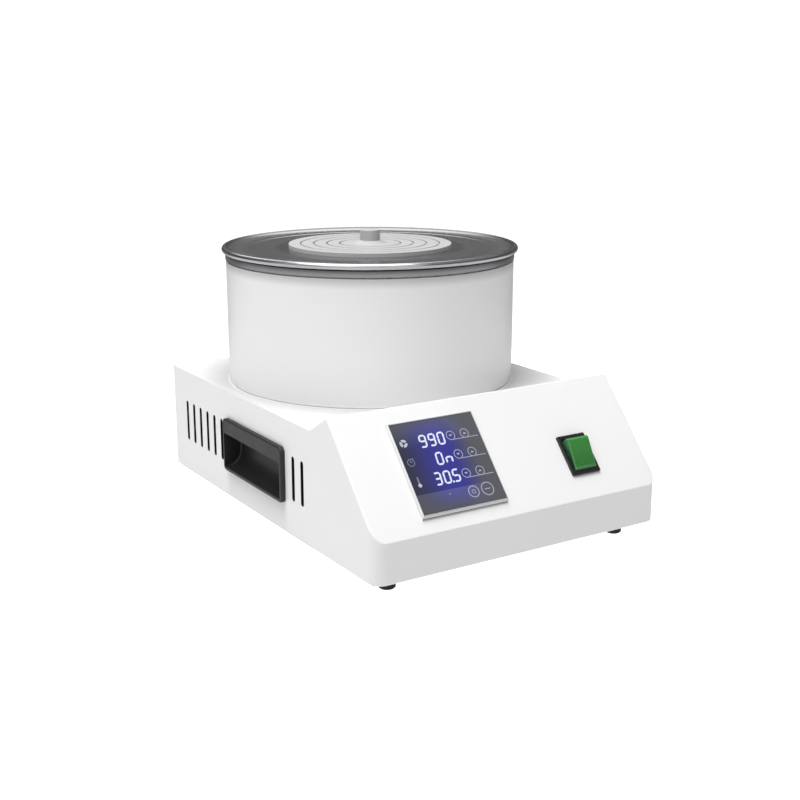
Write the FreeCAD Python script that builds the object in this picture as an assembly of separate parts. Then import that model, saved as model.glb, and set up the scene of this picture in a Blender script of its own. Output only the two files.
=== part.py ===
"""Stirred water bath: a round steel bath on a sloped-front housing, with a magnetic stirring drive.

Millimetres, +Z up. The origin is the middle of the footprint, at the surface that the feet stand on.
X is the width, +X to the right of someone facing the display; +Y runs from the display to the back.
"""
import FreeCAD
import Part
import math
import os

# Housing: one moulded shell, open below. Heights are above the lower edge of its walls. Its width and
# depth follow from the bath and the deck that is left round it.
deck_beside_bath = 9.2
deck_before_bath = 8.8
deck_behind_bath = 6.4
deck_height = 91.9
front_face_height = 31.1
ridge_height = 106.7
ridge_from_front = 66.4
ridge_foot_from_front = 91.6
shell_wall = 3.0
front_corner_radius = 10.0
shell_edge_radius = 1.5
deck_hole_radius = 62.0

# Side vents: one evenly spaced row, with the grip in place of its middle slots
vent_count = 16
first_vent_from_front = 104.7
last_vent_from_rear = 30.1
vent_width = 4.6
vent_bottom = 28.9
vent_top = 64.4

# Base plate, screwed into bosses moulded on the shell's walls
base_thickness = 1.5
base_clearance = 0.3
boss_radius = 4.5
boss_from_wall = 3.5
boss_height = 16.0
boss_top_wall = 3.0
base_screw_radius = 1.75
base_slot_count = 7
base_slot_pitch = 11.0
base_slot_length = 62.0
base_slot_width = 4.0
base_slots_from_front = 51.4

# Screws: pan heads, in proportion to their shanks
head_ratio = 1.75
head_height_ratio = 1.1
screw_hole_clearance = 0.15
thread_clearance = 0.02
screw_end_gap = 1.0
screw_tip = 1.5

# Feet
foot_height = 12.0
foot_radius = 7.0
foot_tip_radius = 6.4
foot_edge = 1.0
foot_from_side = 23.8
foot_from_front = 23.4
foot_bore_radius = 3.7
foot_bore_depth = 7.0
foot_screw_radius = 2.0
foot_nut_radius = 4.0
foot_nut_height = 3.2

# Grips: black cups set in the side walls
grip_from_front = 132.0
grip_length = 105.6
grip_bottom = 23.6
grip_top = 68.2
grip_proud = 3.8
grip_corner_radius = 4.5
grip_edge_radius = 1.5
mouth_end_border = 3.0
mouth_bottom = 26.6
mouth_top = 55.9
mouth_lip = 2.6
pocket_depth = 15.8
pocket_top = 61.5
pocket_scoop_height = 13.2
pocket_wall = 1.5
pocket_corner_radius = 1.5
grip_hole_clearance = 0.3
snap_height = 1.6
snap_length = 12.0
snap_depth = 3.0
snap_root = 0.5
snap_gap = 0.1

# Display unit, standing on the sloped panel. Slope places run up the panel from its lower edge.
display_width = 74.5
display_height = 75.2
display_left = 43.15
display_up_slope = 48.9
frame_thickness = 3.0
frame_chamfer = 0.7
frame_lower_chamfer = 1.7
frame_lip = 0.35
glass_thickness = 1.8
glass_clearance = 0.1
window_width = 62.0
window_height = 60.0
lcd_thickness = 5.0
lcd_clearance = 0.5
board_thickness = 1.6
control_board_width = 80.0
control_board_height = 68.0
panel_boss_radius = 3.2
panel_boss_length = 5.0
panel_boss_inset = 3.6
panel_boss_root = 0.5
board_screw_radius = 1.25
header_length = 49.6
header_width = 3.0
header_from_edge = 5.0
processor_side = 12.0
processor_height = 1.6
processor_x = -10.0
processor_y = -6.0
beeper_radius = 6.0
beeper_height = 8.0
beeper_x = 22.0
beeper_y = 10.0
connector_size = (20.0, 6.0, 9.0)
connector_x = -8.0
connector_from_edge = 8.0

# Power switch: a rocker in a bezel
bezel_width = 26.8
bezel_height = 33.4
bezel_thickness = 2.0
bezel_corner_radius = 1.0
bezel_edge_radius = 0.6
switch_right_edge = 49.7
switch_up_slope = 36.4
switch_body_width = 25.0
switch_body_height = 29.8
switch_body_depth = 24.0
switch_hole_clearance = 0.25
rocker_width = 20.6
rocker_length = 25.8
rocker_gap_x = 0.3
rocker_gap_y = 1.0
rocker_bottom_length = 22.7
rocker_above_pivot = 5.7
rocker_below_pivot = 6.0
rocker_end_bevel = 1.6
rocker_edge_radius = 0.8
rocker_tilt = 13.5
pivot_below_bezel = 1.5
pivot_radius = 1.4
pivot_reach = 1.5
pivot_end_gap = 0.2
running_clearance = 0.05
rocker_well_depth = 12.0
terminal_width = 6.3
terminal_thickness = 0.8
terminal_length = 9.0
terminal_spacing_x = 12.0
terminal_spacing_y = 9.0

# Bath: jacket, pot and what lies between them, all round one axis
insulation_space = 9.0
jacket_top = 192.7
jacket_sheet = 1.0
jacket_lip = 8.8
jacket_foot_flange = 16.8
jacket_bend_radius = 1.6
pot_radius = 110.0
pot_sheet = 0.8
pot_floor_gap = 3.1
pot_corner_radius = 8.0
rim_overhang = 0.5
rim_bottom = 194.1
rim_top = 199.6
rim_bend = 0.9
seal_inset = 1.8
seal_width = 6.5
heater_thickness = 2.5
heater_height = 40.0
heater_above_floor = 6.0
heater_lug_reach = 4.5
heater_lug_width = 8.0
heater_slit = 5.0
heater_screw_radius = 1.5
heater_screw_clearance = 0.1
lug_root = 1.0
lug_room = 2.0
sleeve_gap = 0.5
floor_ring_inner_radius = 66.0
floor_ring_gap = 0.5
probe_radius = 2.0
probe_length = 16.0
probe_from_axis = 43.0
probe_end_radius = 1.2
clip_thickness = 0.6
clip_width = 7.0
clip_foot = 4.0
jacket_screw_count = 6
jacket_screw_radius = 2.0

# Lid: a spun plate with a rolled bead, and nested reducing rings
lid_sheet = 0.8
lid_plate_above_rim = 2.4
bead_radius = 2.5
bead_overhang = 0.4
lid_flare_angle = 20.0
lid_foot_width = 4.3
locating_gap = 0.8
locating_flange = 10.4
locating_depth = 7.0
outer_ring_width = 10.1
disc_overlap = 3.0
disc_thickness = 3.1
cover_radius = 25.6
ring_step = 10.9
ring_count = 4
ring_gap = 1.5
ring_ledge = 3.0
ledge_gap = 0.4
ledge_thickness = 1.5
lip_depth = 2.5
lip_thickness = 2.0
lip_clearance = 0.5
hub_foot_radius = 14.0
hub_top_radius = 9.0
cover_hub_height = 2.5
knob_radius = 8.5
knob_height = 8.9
knob_edge_radius = 0.8
knob_screw_radius = 2.0
knob_screw_depth = 6.0
knob_hole_extra = 0.5

# Stirring drive: a motor under the bath turns two magnets, and these turn the bar in the bath
motor_radius = 29.0
motor_height = 46.0
motor_boss_radius = 11.0
motor_boss_height = 3.5
motor_cap_height = 3.0
motor_cap_overhang = 1.0
motor_boss_clearance = 0.2
motor_screw_circle = 22.0
motor_screw_radius = 1.5
motor_screw_depth = 6.0
motor_hole_extra = 2.0
bearing_radius = 8.0
bearing_height = 5.0
shaft_radius = 3.0
shaft_room = 1.0
magnet_gap = 3.0
magnet_radius = 7.0
magnet_height = 5.0
magnet_from_axis = 24.0
magnet_seat_depth = 1.0
magnet_edge_width = 2.5
holder_thickness = 4.0
holder_hub_radius = 8.0
holder_hub_height = 5.0
hub_gap = 2.5
bracket_sheet = 2.0
bracket_width = 104.0
bracket_depth = 64.0
bracket_foot = 14.0
bracket_bend_radius = 2.5
bracket_screw_radius = 2.0
stir_bar_length = 40.0
stir_bar_radius = 3.7
stir_bar_end_radius = 2.6
stir_ring_radius = 4.2
stir_ring_width = 3.0
stir_bar_gap = 0.3

# Power supply on the base plate, behind the motor
power_board_width = 104.0
power_board_depth = 60.0
power_board_from_wall = 9.0
power_board_from_rear = 42.0
power_board_hole_inset = 4.5
standoff_height = 8.0
standoff_radius = 3.0
power_board_screw_depth = 3.0
front_row_from_middle = 16.0
relay_size = (18.0, 15.0, 15.0)
first_relay_from_edge = 20.0
relay_pitch = 24.0
capacitor_radius = 8.0
capacitor_height = 22.0
first_capacitor_from_edge = 68.0
capacitor_pitch = 20.0
terminal_block_size = (36.0, 10.0, 12.0)
terminal_block_from_edge = 28.0
terminal_block_from_middle = 18.0
sink_width = 46.0
sink_depth = 20.0
sink_height = 30.0
sink_fin_count = 7
sink_fin_thickness = 1.6
sink_back_thickness = 3.0
transformer_gap = 8.0
transformer_width = 42.0
transformer_depth = 35.0
transformer_height = 36.0
transformer_stack = 20.0
winding_width = 26.0
winding_height = 25.2
winding_from_foot = 5.4
transformer_tab = 9.0
transformer_tab_thickness = 1.2
transformer_screw_radius = 1.75

# Mains inlet on the rear wall, with a fuse drawer below the socket
inlet_from_side = 52.0
inlet_centre_height = 40.0
inlet_flange_width = 50.0
inlet_flange_height = 34.0
inlet_flange_proud = 2.0
inlet_corner_radius = 3.0
inlet_body_width = 28.0
inlet_body_height = 31.0
inlet_body_depth = 30.0
inlet_hole_clearance = 0.3
socket_width = 24.2
socket_height = 16.2
socket_depth = 17.0
socket_chamfer = 4.0
socket_rise = 5.4
pin_width = 2.0
pin_height = 4.2
pin_length = 12.2
pin_spacing = 7.0
pin_offset = 2.0
pin_tail = 8.0
drawer_width = 21.0
drawer_height = 7.0
drawer_depth = 24.0
drawer_clearance = 0.2
drawer_drop = 9.4
drawer_notch_size = (8.4, 2.0, 1.2)
inlet_screw_spacing = 40.0
inlet_screw_radius = 1.5
inlet_head_radius = 2.8

# Shared places, worked out from the sizes above
pot_outer = pot_radius + pot_sheet
jacket_inner = pot_outer + insulation_space
jacket_radius = jacket_inner + jacket_sheet
housing_width = 2 * (jacket_radius + deck_beside_bath)
bath_from_front = ridge_foot_from_front + deck_before_bath + jacket_radius
housing_depth = bath_from_front + jacket_radius + deck_behind_bath
vent_pitch = (housing_depth - first_vent_from_front - last_vent_from_rear) / (vent_count - 1)
overall_depth = housing_depth + inlet_flange_proud
front_y = -overall_depth / 2
rear_y = front_y + housing_depth
half_width = housing_width / 2
wall_bottom = foot_height
deck_z = wall_bottom + deck_height
base_top = wall_bottom + base_thickness
bath_y = front_y + bath_from_front
inlet_x = -half_width + inlet_from_side
panel_rise = ridge_height - front_face_height
panel_angle = math.degrees(math.atan2(panel_rise, ridge_from_front))
display_x = -half_width + display_left + display_width / 2
switch_x = half_width - switch_right_edge - bezel_width / 2
pot_bottom = deck_z + pot_floor_gap
pot_floor = pot_bottom + pot_sheet
rim_radius = jacket_radius + rim_overhang
rim_z = wall_bottom + rim_top
jacket_z = wall_bottom + jacket_top
plate_z = rim_z + lid_plate_above_rim
disc_z = plate_z + disc_thickness
ledge_z = plate_z + ledge_thickness
knob_z = disc_z + cover_hub_height
disc_radius = cover_radius + (ring_count - 1) * ring_step + outer_ring_width
lid_hole_radius = disc_radius - disc_overlap
lid_foot_radius = rim_radius - lid_foot_width
bead_centre = rim_radius + bead_overhang
bead_centre_z = rim_z + bead_radius
holder_z = pot_bottom - magnet_gap - magnet_height + magnet_seat_depth - holder_thickness
hub_z = holder_z - holder_hub_height
bracket_z = hub_z - hub_gap - motor_boss_height + bracket_sheet
power_board_x = half_width - shell_wall - power_board_from_wall - power_board_width / 2
board_x_left = power_board_x - power_board_width / 2
transformer_x = board_x_left - transformer_gap - transformer_tab - transformer_width / 2
power_board_y = rear_y - power_board_from_rear
board_z = base_top + standoff_height


def vec(x, y, z):
    return FreeCAD.Vector(x, y, z)


def along_x(length):
    return vec(length, 0, 0)


def up(length):
    return vec(0, 0, length)


def block(x_size, y_size, z_size, x=0.0, y=0.0, z=0.0):
    """A box centred on x and y, standing on z."""
    return Part.makeBox(x_size, y_size, z_size, vec(x - x_size / 2, y - y_size / 2, z))


def rod(radius, height, x=0.0, y=0.0, z=0.0):
    """An upright cylinder standing on z."""
    return Part.makeCylinder(radius, height, vec(x, y, z))


def cross_rod(radius, length, x, y, z):
    """A cylinder along X, starting at x."""
    return Part.makeCylinder(radius, length, vec(x, y, z), vec(1, 0, 0))


def slab(x_size, y_size, z_size, corner_radius):
    """A block on the XY plane with its four upright edges rounded."""
    plain = block(x_size, y_size, z_size)
    return plain.makeFillet(corner_radius, upright_edges(plain))


def stadium(x_size, y_size, z_size):
    """A slot-shaped block along Y with round ends, on the XY plane."""
    reach = (y_size - x_size) / 2
    ends = [rod(x_size / 2, z_size, 0, side * reach) for side in (-1, 1)]
    return block(x_size, 2 * reach, z_size).fuse(ends).removeSplitter()


def upright_edges(shape):
    return [edge for edge in shape.Edges if is_upright(edge)]


def is_upright(edge):
    box = edge.BoundBox
    return box.XLength < 1e-6 and box.YLength < 1e-6 and box.ZLength > 1e-6


def edges_at_height(shape, height):
    """The edges that lie wholly at one height."""
    return [edge for edge in shape.Edges
            if abs(edge.BoundBox.ZMin - height) < 1e-6 and abs(edge.BoundBox.ZMax - height) < 1e-6]


def rounded_top(shape, radius):
    return shape.makeFillet(radius, edges_at_height(shape, shape.BoundBox.ZMax))


def polygon_face(points):
    return Part.Face(Part.makePolygon(points + points[:1]))


def turned(outline, y=0.0):
    """Turn an outline of (radius, height) points round the upright axis at x 0 and y."""
    face = polygon_face([vec(radius, y, z) for radius, z in outline])
    return face.revolve(vec(0, y, 0), vec(0, 0, 1), 360)


def tube(outer_radius, inner_radius, height, y=0.0, z=0.0):
    return rod(outer_radius, height, 0, y, z).cut(rod(inner_radius, height, 0, y, z))


def curve_edges(steps):
    """Edges through (radius, height) points; a step of two points is an arc through the first."""
    edges = []
    here = steps[0]
    for step in steps[1:] + steps[:1]:
        if isinstance(step[0], tuple):
            middle, end = step
            arc = Part.Arc(vec(here[0], bath_y, here[1]), vec(middle[0], bath_y, middle[1]),
                           vec(end[0], bath_y, end[1]))
            edges.append(arc.toShape())
        else:
            end = step
            line = Part.LineSegment(vec(here[0], bath_y, here[1]), vec(end[0], bath_y, end[1]))
            edges.append(line.toShape())
        here = end
    return edges


def turned_curve(steps):
    """Turn an outline of lines and arcs round the bath's axis."""
    wire = Part.Wire(curve_edges(steps))
    return Part.Face(wire).revolve(vec(0, bath_y, 0), vec(0, 0, 1), 360)


def ring_places(count, radius, start=0.0):
    """Evenly spaced (x, y) places on a circle round the bath's axis."""
    angles = [math.radians(start + 360.0 * index / count) for index in range(count)]
    return [(radius * math.cos(angle), bath_y + radius * math.sin(angle)) for angle in angles]


def corner_places(x_size, y_size, x=0.0, y=0.0):
    return [(x + side * x_size / 2, y + end * y_size / 2) for side in (-1, 1) for end in (-1, 1)]


def screw(radius, length):
    """A pan-head screw: the head stands on the XY plane and the shank runs down."""
    head = rod(head_ratio * radius, head_height_ratio * radius)
    return head.fuse(rod(radius, length, 0, 0, -length)).removeSplitter()


def countersunk_screw(radius, length):
    """A screw whose flat head lies flush with the XY plane; the shank runs down."""
    depth = inlet_head_radius - inlet_screw_radius
    head = Part.makeCone(radius, radius + depth, depth, vec(0, 0, -depth))
    return head.fuse(rod(radius, length, 0, 0, -length)).removeSplitter()


def flipped(shape):
    """Turn a piece upside down about the X axis."""
    return shape.rotated(vec(0, 0, 0), vec(1, 0, 0), 180)


def on_panel(shape, x, up_slope, out=0.0):
    """Carry a piece from the flat (X right, Y up the slope, Z outward) to the sloped panel."""
    placed = shape.translated(vec(x, up_slope, out))
    placed = placed.rotated(vec(0, 0, 0), vec(1, 0, 0), panel_angle)
    return placed.translated(vec(0, front_y, wall_bottom + front_face_height))


def on_rear(shape, x, height, out=0.0):
    """Carry a piece from the flat (Y up, Z outward) to the rear wall."""
    placed = shape.translated(up(out)).rotated(vec(0, 0, 0), vec(0, 0, 1), 180)
    placed = placed.rotated(vec(0, 0, 0), vec(1, 0, 0), -90)
    return placed.translated(vec(x, rear_y, wall_bottom + height))


def group(shapes):
    """Like pieces that share one node stay separate solids."""
    return Part.makeCompound(shapes)


def save(name, shape):
    shape.exportStep(f"parts/{name}.step")


def side_outline(inset):
    """The housing seen from the side, drawn in the plane x = 0 and pulled in by the inset."""
    corners = [(0, 0), (0, front_face_height), (ridge_from_front, ridge_height),
               (ridge_foot_from_front, deck_height), (housing_depth, deck_height), (housing_depth, 0)]
    wire = Part.makePolygon([vec(0, front_y + y, wall_bottom + z) for y, z in corners + corners[:1]])
    if inset > 0:
        wire = wire.makeOffset2D(-inset, 2)
    return wire


def plan_prism(inset, bottom, height):
    """The housing seen from above, with its round front corners, as an upright prism."""
    width = housing_width - 2 * inset
    depth = housing_depth - 2 * inset
    plain = block(width, depth, height, 0, front_y + inset + depth / 2, bottom)
    front_edges = [edge for edge in upright_edges(plain) if edge.BoundBox.YMax < 0]
    return plain.makeFillet(front_corner_radius - inset, front_edges)


def housing_body(inset):
    width = housing_width - 2 * inset
    prism = Part.Face(side_outline(inset)).extrude(along_x(width)).translated(along_x(-width / 2))
    return prism.common(plan_prism(inset, 0, wall_bottom + ridge_height + 1))


def round_housing_edges(body):
    """Round every sharp outer edge; the seams of the round front corners are smooth already."""
    seam_limit = front_y + front_corner_radius + 0.01
    sharp = [edge for edge in body.Edges
             if not (is_upright(edge) and edge.BoundBox.YMax < seam_limit)]
    return body.makeFillet(shell_edge_radius, sharp)


def hollow_space():
    """The room inside the shell, which runs out through its open underside."""
    inside = housing_body(shell_wall)
    below = plan_prism(shell_wall, wall_bottom - 1, 2 * shell_wall)
    return inside.fuse(below).removeSplitter()


def base_boss_places():
    reach_x = half_width - shell_wall - boss_from_wall
    near = front_y + shell_wall + boss_from_wall
    far = rear_y - shell_wall - boss_from_wall
    middle = front_y + first_vent_from_front - vent_pitch
    return [(side * reach_x, y) for side in (-1, 1) for y in (near + boss_radius, middle, far)]


def base_bosses():
    return [rod(boss_radius, boss_height, x, y, base_top) for x, y in base_boss_places()]


def panel_boss_places():
    """Corners of the control board, up the slope from the panel's lower edge."""
    return corner_places(control_board_width - 2 * panel_boss_inset,
                         control_board_height - 2 * panel_boss_inset, display_x, display_up_slope)


def panel_bosses():
    length = panel_boss_length + panel_boss_root
    return [on_panel(rod(panel_boss_radius, length), x, s, -shell_wall - panel_boss_length)
            for x, s in panel_boss_places()]


def vent_cutters():
    """Slots right across the housing, left out where the grips are."""
    slot = stadium(vent_width, vent_top - vent_bottom, housing_width + 2)
    upright_slot = slot.rotated(vec(0, 0, 0), vec(0, 1, 0), 90).rotated(vec(0, 0, 0), vec(1, 0, 0), 90)
    centre_z = wall_bottom + (vent_bottom + vent_top) / 2
    cutters = []
    for index in range(vent_count):
        from_front = first_vent_from_front + index * vent_pitch
        clear_before = from_front + vent_width < grip_from_front
        clear_behind = from_front - vent_width > grip_from_front + grip_length
        if clear_before or clear_behind:
            cutters.append(upright_slot.translated(vec(-half_width - 1, front_y + from_front, centre_z)))
    return cutters


def grip_hole_cutter():
    """One opening for the body of each grip, cut across both side walls."""
    low = mouth_bottom - pocket_wall - grip_hole_clearance
    high = pocket_top + pocket_wall + grip_hole_clearance
    length = grip_length - 2 * mouth_end_border + 2 * pocket_wall + 2 * grip_hole_clearance
    middle = front_y + grip_from_front + grip_length / 2
    return block(housing_width + 2, length, high - low, 0, middle, wall_bottom + low)


def inlet_hole_cutter():
    width = inlet_body_width + 2 * inlet_hole_clearance
    height = inlet_body_height + 2 * inlet_hole_clearance
    depth = 2 * shell_wall + 2
    return on_rear(block(width, height, depth), inlet_x, inlet_centre_height, -depth / 2)


def switch_hole_cutter():
    width = switch_body_width + 2 * switch_hole_clearance
    height = switch_body_height + 2 * switch_hole_clearance
    return on_panel(block(width, height, 4 * shell_wall), switch_x, switch_up_slope, -2 * shell_wall)


def window_cutter():
    window = block(window_width, window_height, 4 * shell_wall)
    return on_panel(window, display_x, display_up_slope, -2 * shell_wall)


def shell_screw_holes():
    base_hole = rod(base_screw_radius, boss_height - boss_top_wall)
    holes = [base_hole.translated(vec(x, y, base_top)) for x, y in base_boss_places()]
    board_hole = rod(board_screw_radius, panel_boss_length)
    bottom = -shell_wall - panel_boss_length
    holes += [on_panel(board_hole, x, s, bottom) for x, s in panel_boss_places()]
    jacket_hole = rod(jacket_screw_radius + screw_hole_clearance, 2 * shell_wall, 0, 0, deck_z - shell_wall - 1)
    holes += [jacket_hole.translated(vec(x, y, 0)) for x, y in jacket_screw_places()]
    inlet_hole = rod(inlet_screw_radius + screw_hole_clearance, 2 * shell_wall, 0, 0, -shell_wall - 1)
    for side in (-1, 1):
        hole = inlet_hole.translated(along_x(side * inlet_screw_spacing / 2))
        holes.append(on_rear(hole, inlet_x, inlet_centre_height))
    return holes


def housing_shell():
    """Deck, ridge, sloped panel and walls, moulded as one piece."""
    shell = round_housing_edges(housing_body(0)).cut(hollow_space())
    shell = shell.fuse(base_bosses() + panel_bosses())
    shell = shell.cut(vent_cutters())
    shell = shell.cut([grip_hole_cutter(), inlet_hole_cutter(), switch_hole_cutter(), window_cutter()])
    shell = shell.cut(rod(deck_hole_radius, 4 * shell_wall, 0, bath_y, deck_z - 2 * shell_wall))
    return shell.cut(shell_screw_holes()).removeSplitter()


def foot_places():
    reach_x = half_width - foot_from_side
    return {"foot_front_left": (-reach_x, front_y + foot_from_front),
            "foot_front_right": (reach_x, front_y + foot_from_front),
            "foot_rear_left": (-reach_x, rear_y - foot_from_front),
            "foot_rear_right": (reach_x, rear_y - foot_from_front)}


def base_slots():
    """Two blocks of cooling slots, in front of the motor and behind it."""
    slot = stadium(base_slot_width, base_slot_length, 4 * base_thickness).rotated(
        vec(0, 0, 0), vec(0, 0, 1), 90)
    cutters = []
    block_depth = (base_slot_count - 1) * base_slot_pitch
    for start in (front_y + base_slots_from_front, bath_y - block_depth / 2):
        for index in range(base_slot_count):
            place = vec(0, start + index * base_slot_pitch, wall_bottom - base_thickness)
            cutters.append(slot.translated(place))
    return cutters


def base_hole_cutters():
    reach = 4 * base_thickness
    low = wall_bottom - base_thickness
    clearance = screw_hole_clearance
    cutters = [rod(base_screw_radius + clearance, reach, x, y, low) for x, y in base_boss_places()]
    cutters += [rod(foot_screw_radius + clearance, reach, x, y, low) for x, y in foot_places().values()]
    cutters += [rod(bracket_screw_radius + clearance, reach, x, y, low) for x, y in bracket_screw_places()]
    cutters += [rod(board_screw_radius + clearance, reach, x, y, low) for x, y in standoff_places()]
    cutters += [rod(transformer_screw_radius + clearance, reach, x, y, low)
                for x, y in transformer_screw_places()]
    return cutters


def base_plate():
    plate = plan_prism(shell_wall + base_clearance, wall_bottom, base_thickness)
    return plate.cut(base_slots() + base_hole_cutters())


def base_screws():
    one = flipped(screw(base_screw_radius, base_thickness + boss_height - boss_top_wall - screw_end_gap))
    return group([one.translated(vec(x, y, wall_bottom)) for x, y in base_boss_places()])


def foot():
    hole = foot_screw_radius + screw_hole_clearance
    outline = [(foot_bore_radius, 0), (foot_tip_radius - foot_edge, 0), (foot_tip_radius, foot_edge),
               (foot_radius, foot_height), (hole, foot_height), (hole, foot_bore_depth),
               (foot_bore_radius, foot_bore_depth)]
    return turned(outline)


def foot_screws():
    length = foot_height - foot_bore_depth + base_thickness + foot_nut_height + screw_tip
    one = flipped(screw(foot_screw_radius, length))
    return group([one.translated(vec(x, y, foot_bore_depth)) for x, y in foot_places().values()])


def hexagon(across_corners, height):
    corners = [vec(across_corners * math.cos(math.radians(60 * index)),
                   across_corners * math.sin(math.radians(60 * index)), 0) for index in range(6)]
    return polygon_face(corners).extrude(up(height))


def foot_nuts():
    hole = rod(foot_screw_radius + thread_clearance, foot_nut_height)
    one = hexagon(foot_nut_radius, foot_nut_height).cut(hole)
    return group([one.translated(vec(x, y, base_top)) for x, y in foot_places().values()])


def pocket_outline(extra):
    """The cup's room seen along Y: depth from the flange's face, and height. Extra is its wall."""
    depth = pocket_depth + extra
    bottom = mouth_bottom - extra
    top = pocket_top + extra
    start = vec(0, 0, bottom)
    floor_end = vec(mouth_lip, 0, bottom)
    back = vec(depth, 0, bottom + pocket_scoop_height)
    bulge = vec(mouth_lip + (depth - mouth_lip) * math.sin(math.pi / 4), 0,
                bottom + pocket_scoop_height * (1 - math.cos(math.pi / 4)))
    edges = [Part.LineSegment(start, floor_end).toShape(), Part.Arc(floor_end, bulge, back).toShape(),
             Part.LineSegment(back, vec(depth, 0, top)).toShape(),
             Part.LineSegment(vec(depth, 0, top), vec(0, 0, top)).toShape(),
             Part.LineSegment(vec(0, 0, top), start).toShape()]
    return Part.Face(Part.Wire(edges))


def grip():
    """The right-hand grip, drawn with its flange's face at x 0 and the wall of the housing inward."""
    middle = grip_length / 2
    pocket_length = grip_length - 2 * mouth_end_border
    flange = slab(grip_top - grip_bottom, grip_length, grip_proud, grip_corner_radius)
    flange = rounded_top(flange, grip_edge_radius).rotated(vec(0, 0, 0), vec(0, 1, 0), -90)
    flange = flange.translated(vec(grip_proud, middle, (grip_top + grip_bottom) / 2))
    cup = pocket_outline(pocket_wall).extrude(vec(0, pocket_length + 2 * pocket_wall, 0))
    cup = cup.translated(vec(0, mouth_end_border - pocket_wall, 0))
    in_front = block(2 * grip_proud, 2 * grip_length, 4 * grip_top, 0, middle, -grip_top)
    solid = flange.fuse(cup.cut(in_front)).fuse(snap_ribs())
    pocket = pocket_outline(0).extrude(vec(0, pocket_length, 0)).translated(vec(0, mouth_end_border, 0))
    pocket = pocket.makeFillet(pocket_corner_radius, pocket_end_edges(pocket))
    lip_back = grip_proud + pocket_wall / 2
    above_mouth = block(2 * lip_back, pocket_length + 2, pocket_top, 0, middle, mouth_top)
    return solid.cut(pocket.cut(above_mouth)).removeSplitter()


def pocket_end_edges(pocket):
    """Edges of the pocket's two ends, save those in the flange's face."""
    return [edge for edge in pocket.Edges if edge.BoundBox.YLength < 0.001 and edge.BoundBox.XMax > 0.001]


def snap_ribs():
    """Two ribs over the cup that catch behind the wall."""
    rib_x = grip_proud + shell_wall + snap_gap + snap_depth / 2
    top = pocket_top + pocket_wall
    rib = block(snap_depth, snap_length, snap_height + snap_root, rib_x, 0, top - snap_root)
    return [rib.translated(vec(0, share * grip_length, 0)) for share in (0.25, 0.75)]


def placed_grip(side):
    """The drawn grip, its depth running inward from the side that it is on."""
    one = grip().translated(vec(-half_width - grip_proud, front_y + grip_from_front, wall_bottom))
    if side > 0:
        one = one.mirror(vec(0, 0, 0), vec(1, 0, 0))
    return one


def glass_room(clearance, thickness):
    """The room of the touch glass in the frame, less a clearance all round."""
    side = frame_chamfer + frame_lip + clearance
    lower = frame_lower_chamfer + frame_lip + clearance
    return block(display_width - 2 * side, display_height - side - lower, thickness, 0, (lower - side) / 2,
                 frame_thickness - glass_thickness)


def display_frame():
    """Rim of the display: a narrow bevel above and beside the glass, a wide one below it."""
    plain = block(display_width, display_height, frame_thickness)
    front = edges_at_height(plain, frame_thickness)
    lower = [edge for edge in front if edge.BoundBox.YMax < 0]
    plain = plain.makeChamfer(frame_lower_chamfer, lower)
    lower_edge = frame_lower_chamfer - display_height / 2
    upper = [edge for edge in edges_at_height(plain, frame_thickness) if edge.BoundBox.YMax > lower_edge + 1]
    bevelled = plain.makeChamfer(frame_chamfer, upper)
    window = block(window_width, window_height, 4 * frame_thickness, 0, 0, -frame_thickness)
    return on_panel(bevelled.cut(glass_room(0, frame_thickness)).cut(window), display_x, display_up_slope)


def touch_glass():
    return on_panel(glass_room(glass_clearance, glass_thickness), display_x, display_up_slope)


def lcd_module():
    module = block(window_width - 2 * lcd_clearance, window_height - 2 * lcd_clearance, lcd_thickness)
    seat = frame_thickness - glass_thickness - lcd_thickness
    return on_panel(module, display_x, display_up_slope, seat)


def control_board():
    """The board on the panel's bosses, with its header, processor and connectors."""
    top = -shell_wall - panel_boss_length
    board = block(control_board_width, control_board_height, board_thickness, 0, 0, -board_thickness)
    lcd_back = frame_thickness - glass_thickness - lcd_thickness
    header = block(header_length, header_width, lcd_back - top, 0, window_height / 2 - header_from_edge)
    under = -board_thickness
    processor = block(processor_side, processor_side, processor_height, processor_x, processor_y,
                      under - processor_height)
    beeper = rod(beeper_radius, beeper_height, beeper_x, beeper_y, under - beeper_height)
    connector = block(*connector_size, connector_x, connector_from_edge - control_board_height / 2,
                      under - connector_size[2])
    board = board.fuse([header, processor, beeper, connector])
    inset = 2 * panel_boss_inset
    holes = [rod(board_screw_radius + screw_hole_clearance, 4 * board_thickness, x, y, -2 * board_thickness)
             for x, y in corner_places(control_board_width - inset, control_board_height - inset)]
    return on_panel(board.cut(holes), display_x, display_up_slope, top)


def control_board_screws():
    one = flipped(screw(board_screw_radius, board_thickness + panel_boss_length - screw_end_gap))
    seat = -shell_wall - panel_boss_length - board_thickness
    return group([on_panel(one, x, s, seat) for x, s in panel_boss_places()])


def switch_body():
    """Bezel and body, with the rocker's well and the sockets of its pivots."""
    bezel = slab(bezel_width, bezel_height, bezel_thickness, bezel_corner_radius)
    bezel = rounded_top(bezel, bezel_edge_radius)
    body = block(switch_body_width, switch_body_height, switch_body_depth, 0, 0, -switch_body_depth)
    well = block(rocker_width + 2 * rocker_gap_x, rocker_length + 2 * rocker_gap_y, rocker_well_depth,
                 0, 0, bezel_thickness - rocker_well_depth)
    pivot_z = bezel_thickness - pivot_below_bezel
    socket_length = rocker_width + 2 * (pivot_reach + pivot_end_gap)
    sockets = cross_rod(pivot_radius + running_clearance, socket_length, -socket_length / 2, 0, pivot_z)
    return on_panel(bezel.fuse(body).cut([well, sockets]), switch_x, switch_up_slope)


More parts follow.
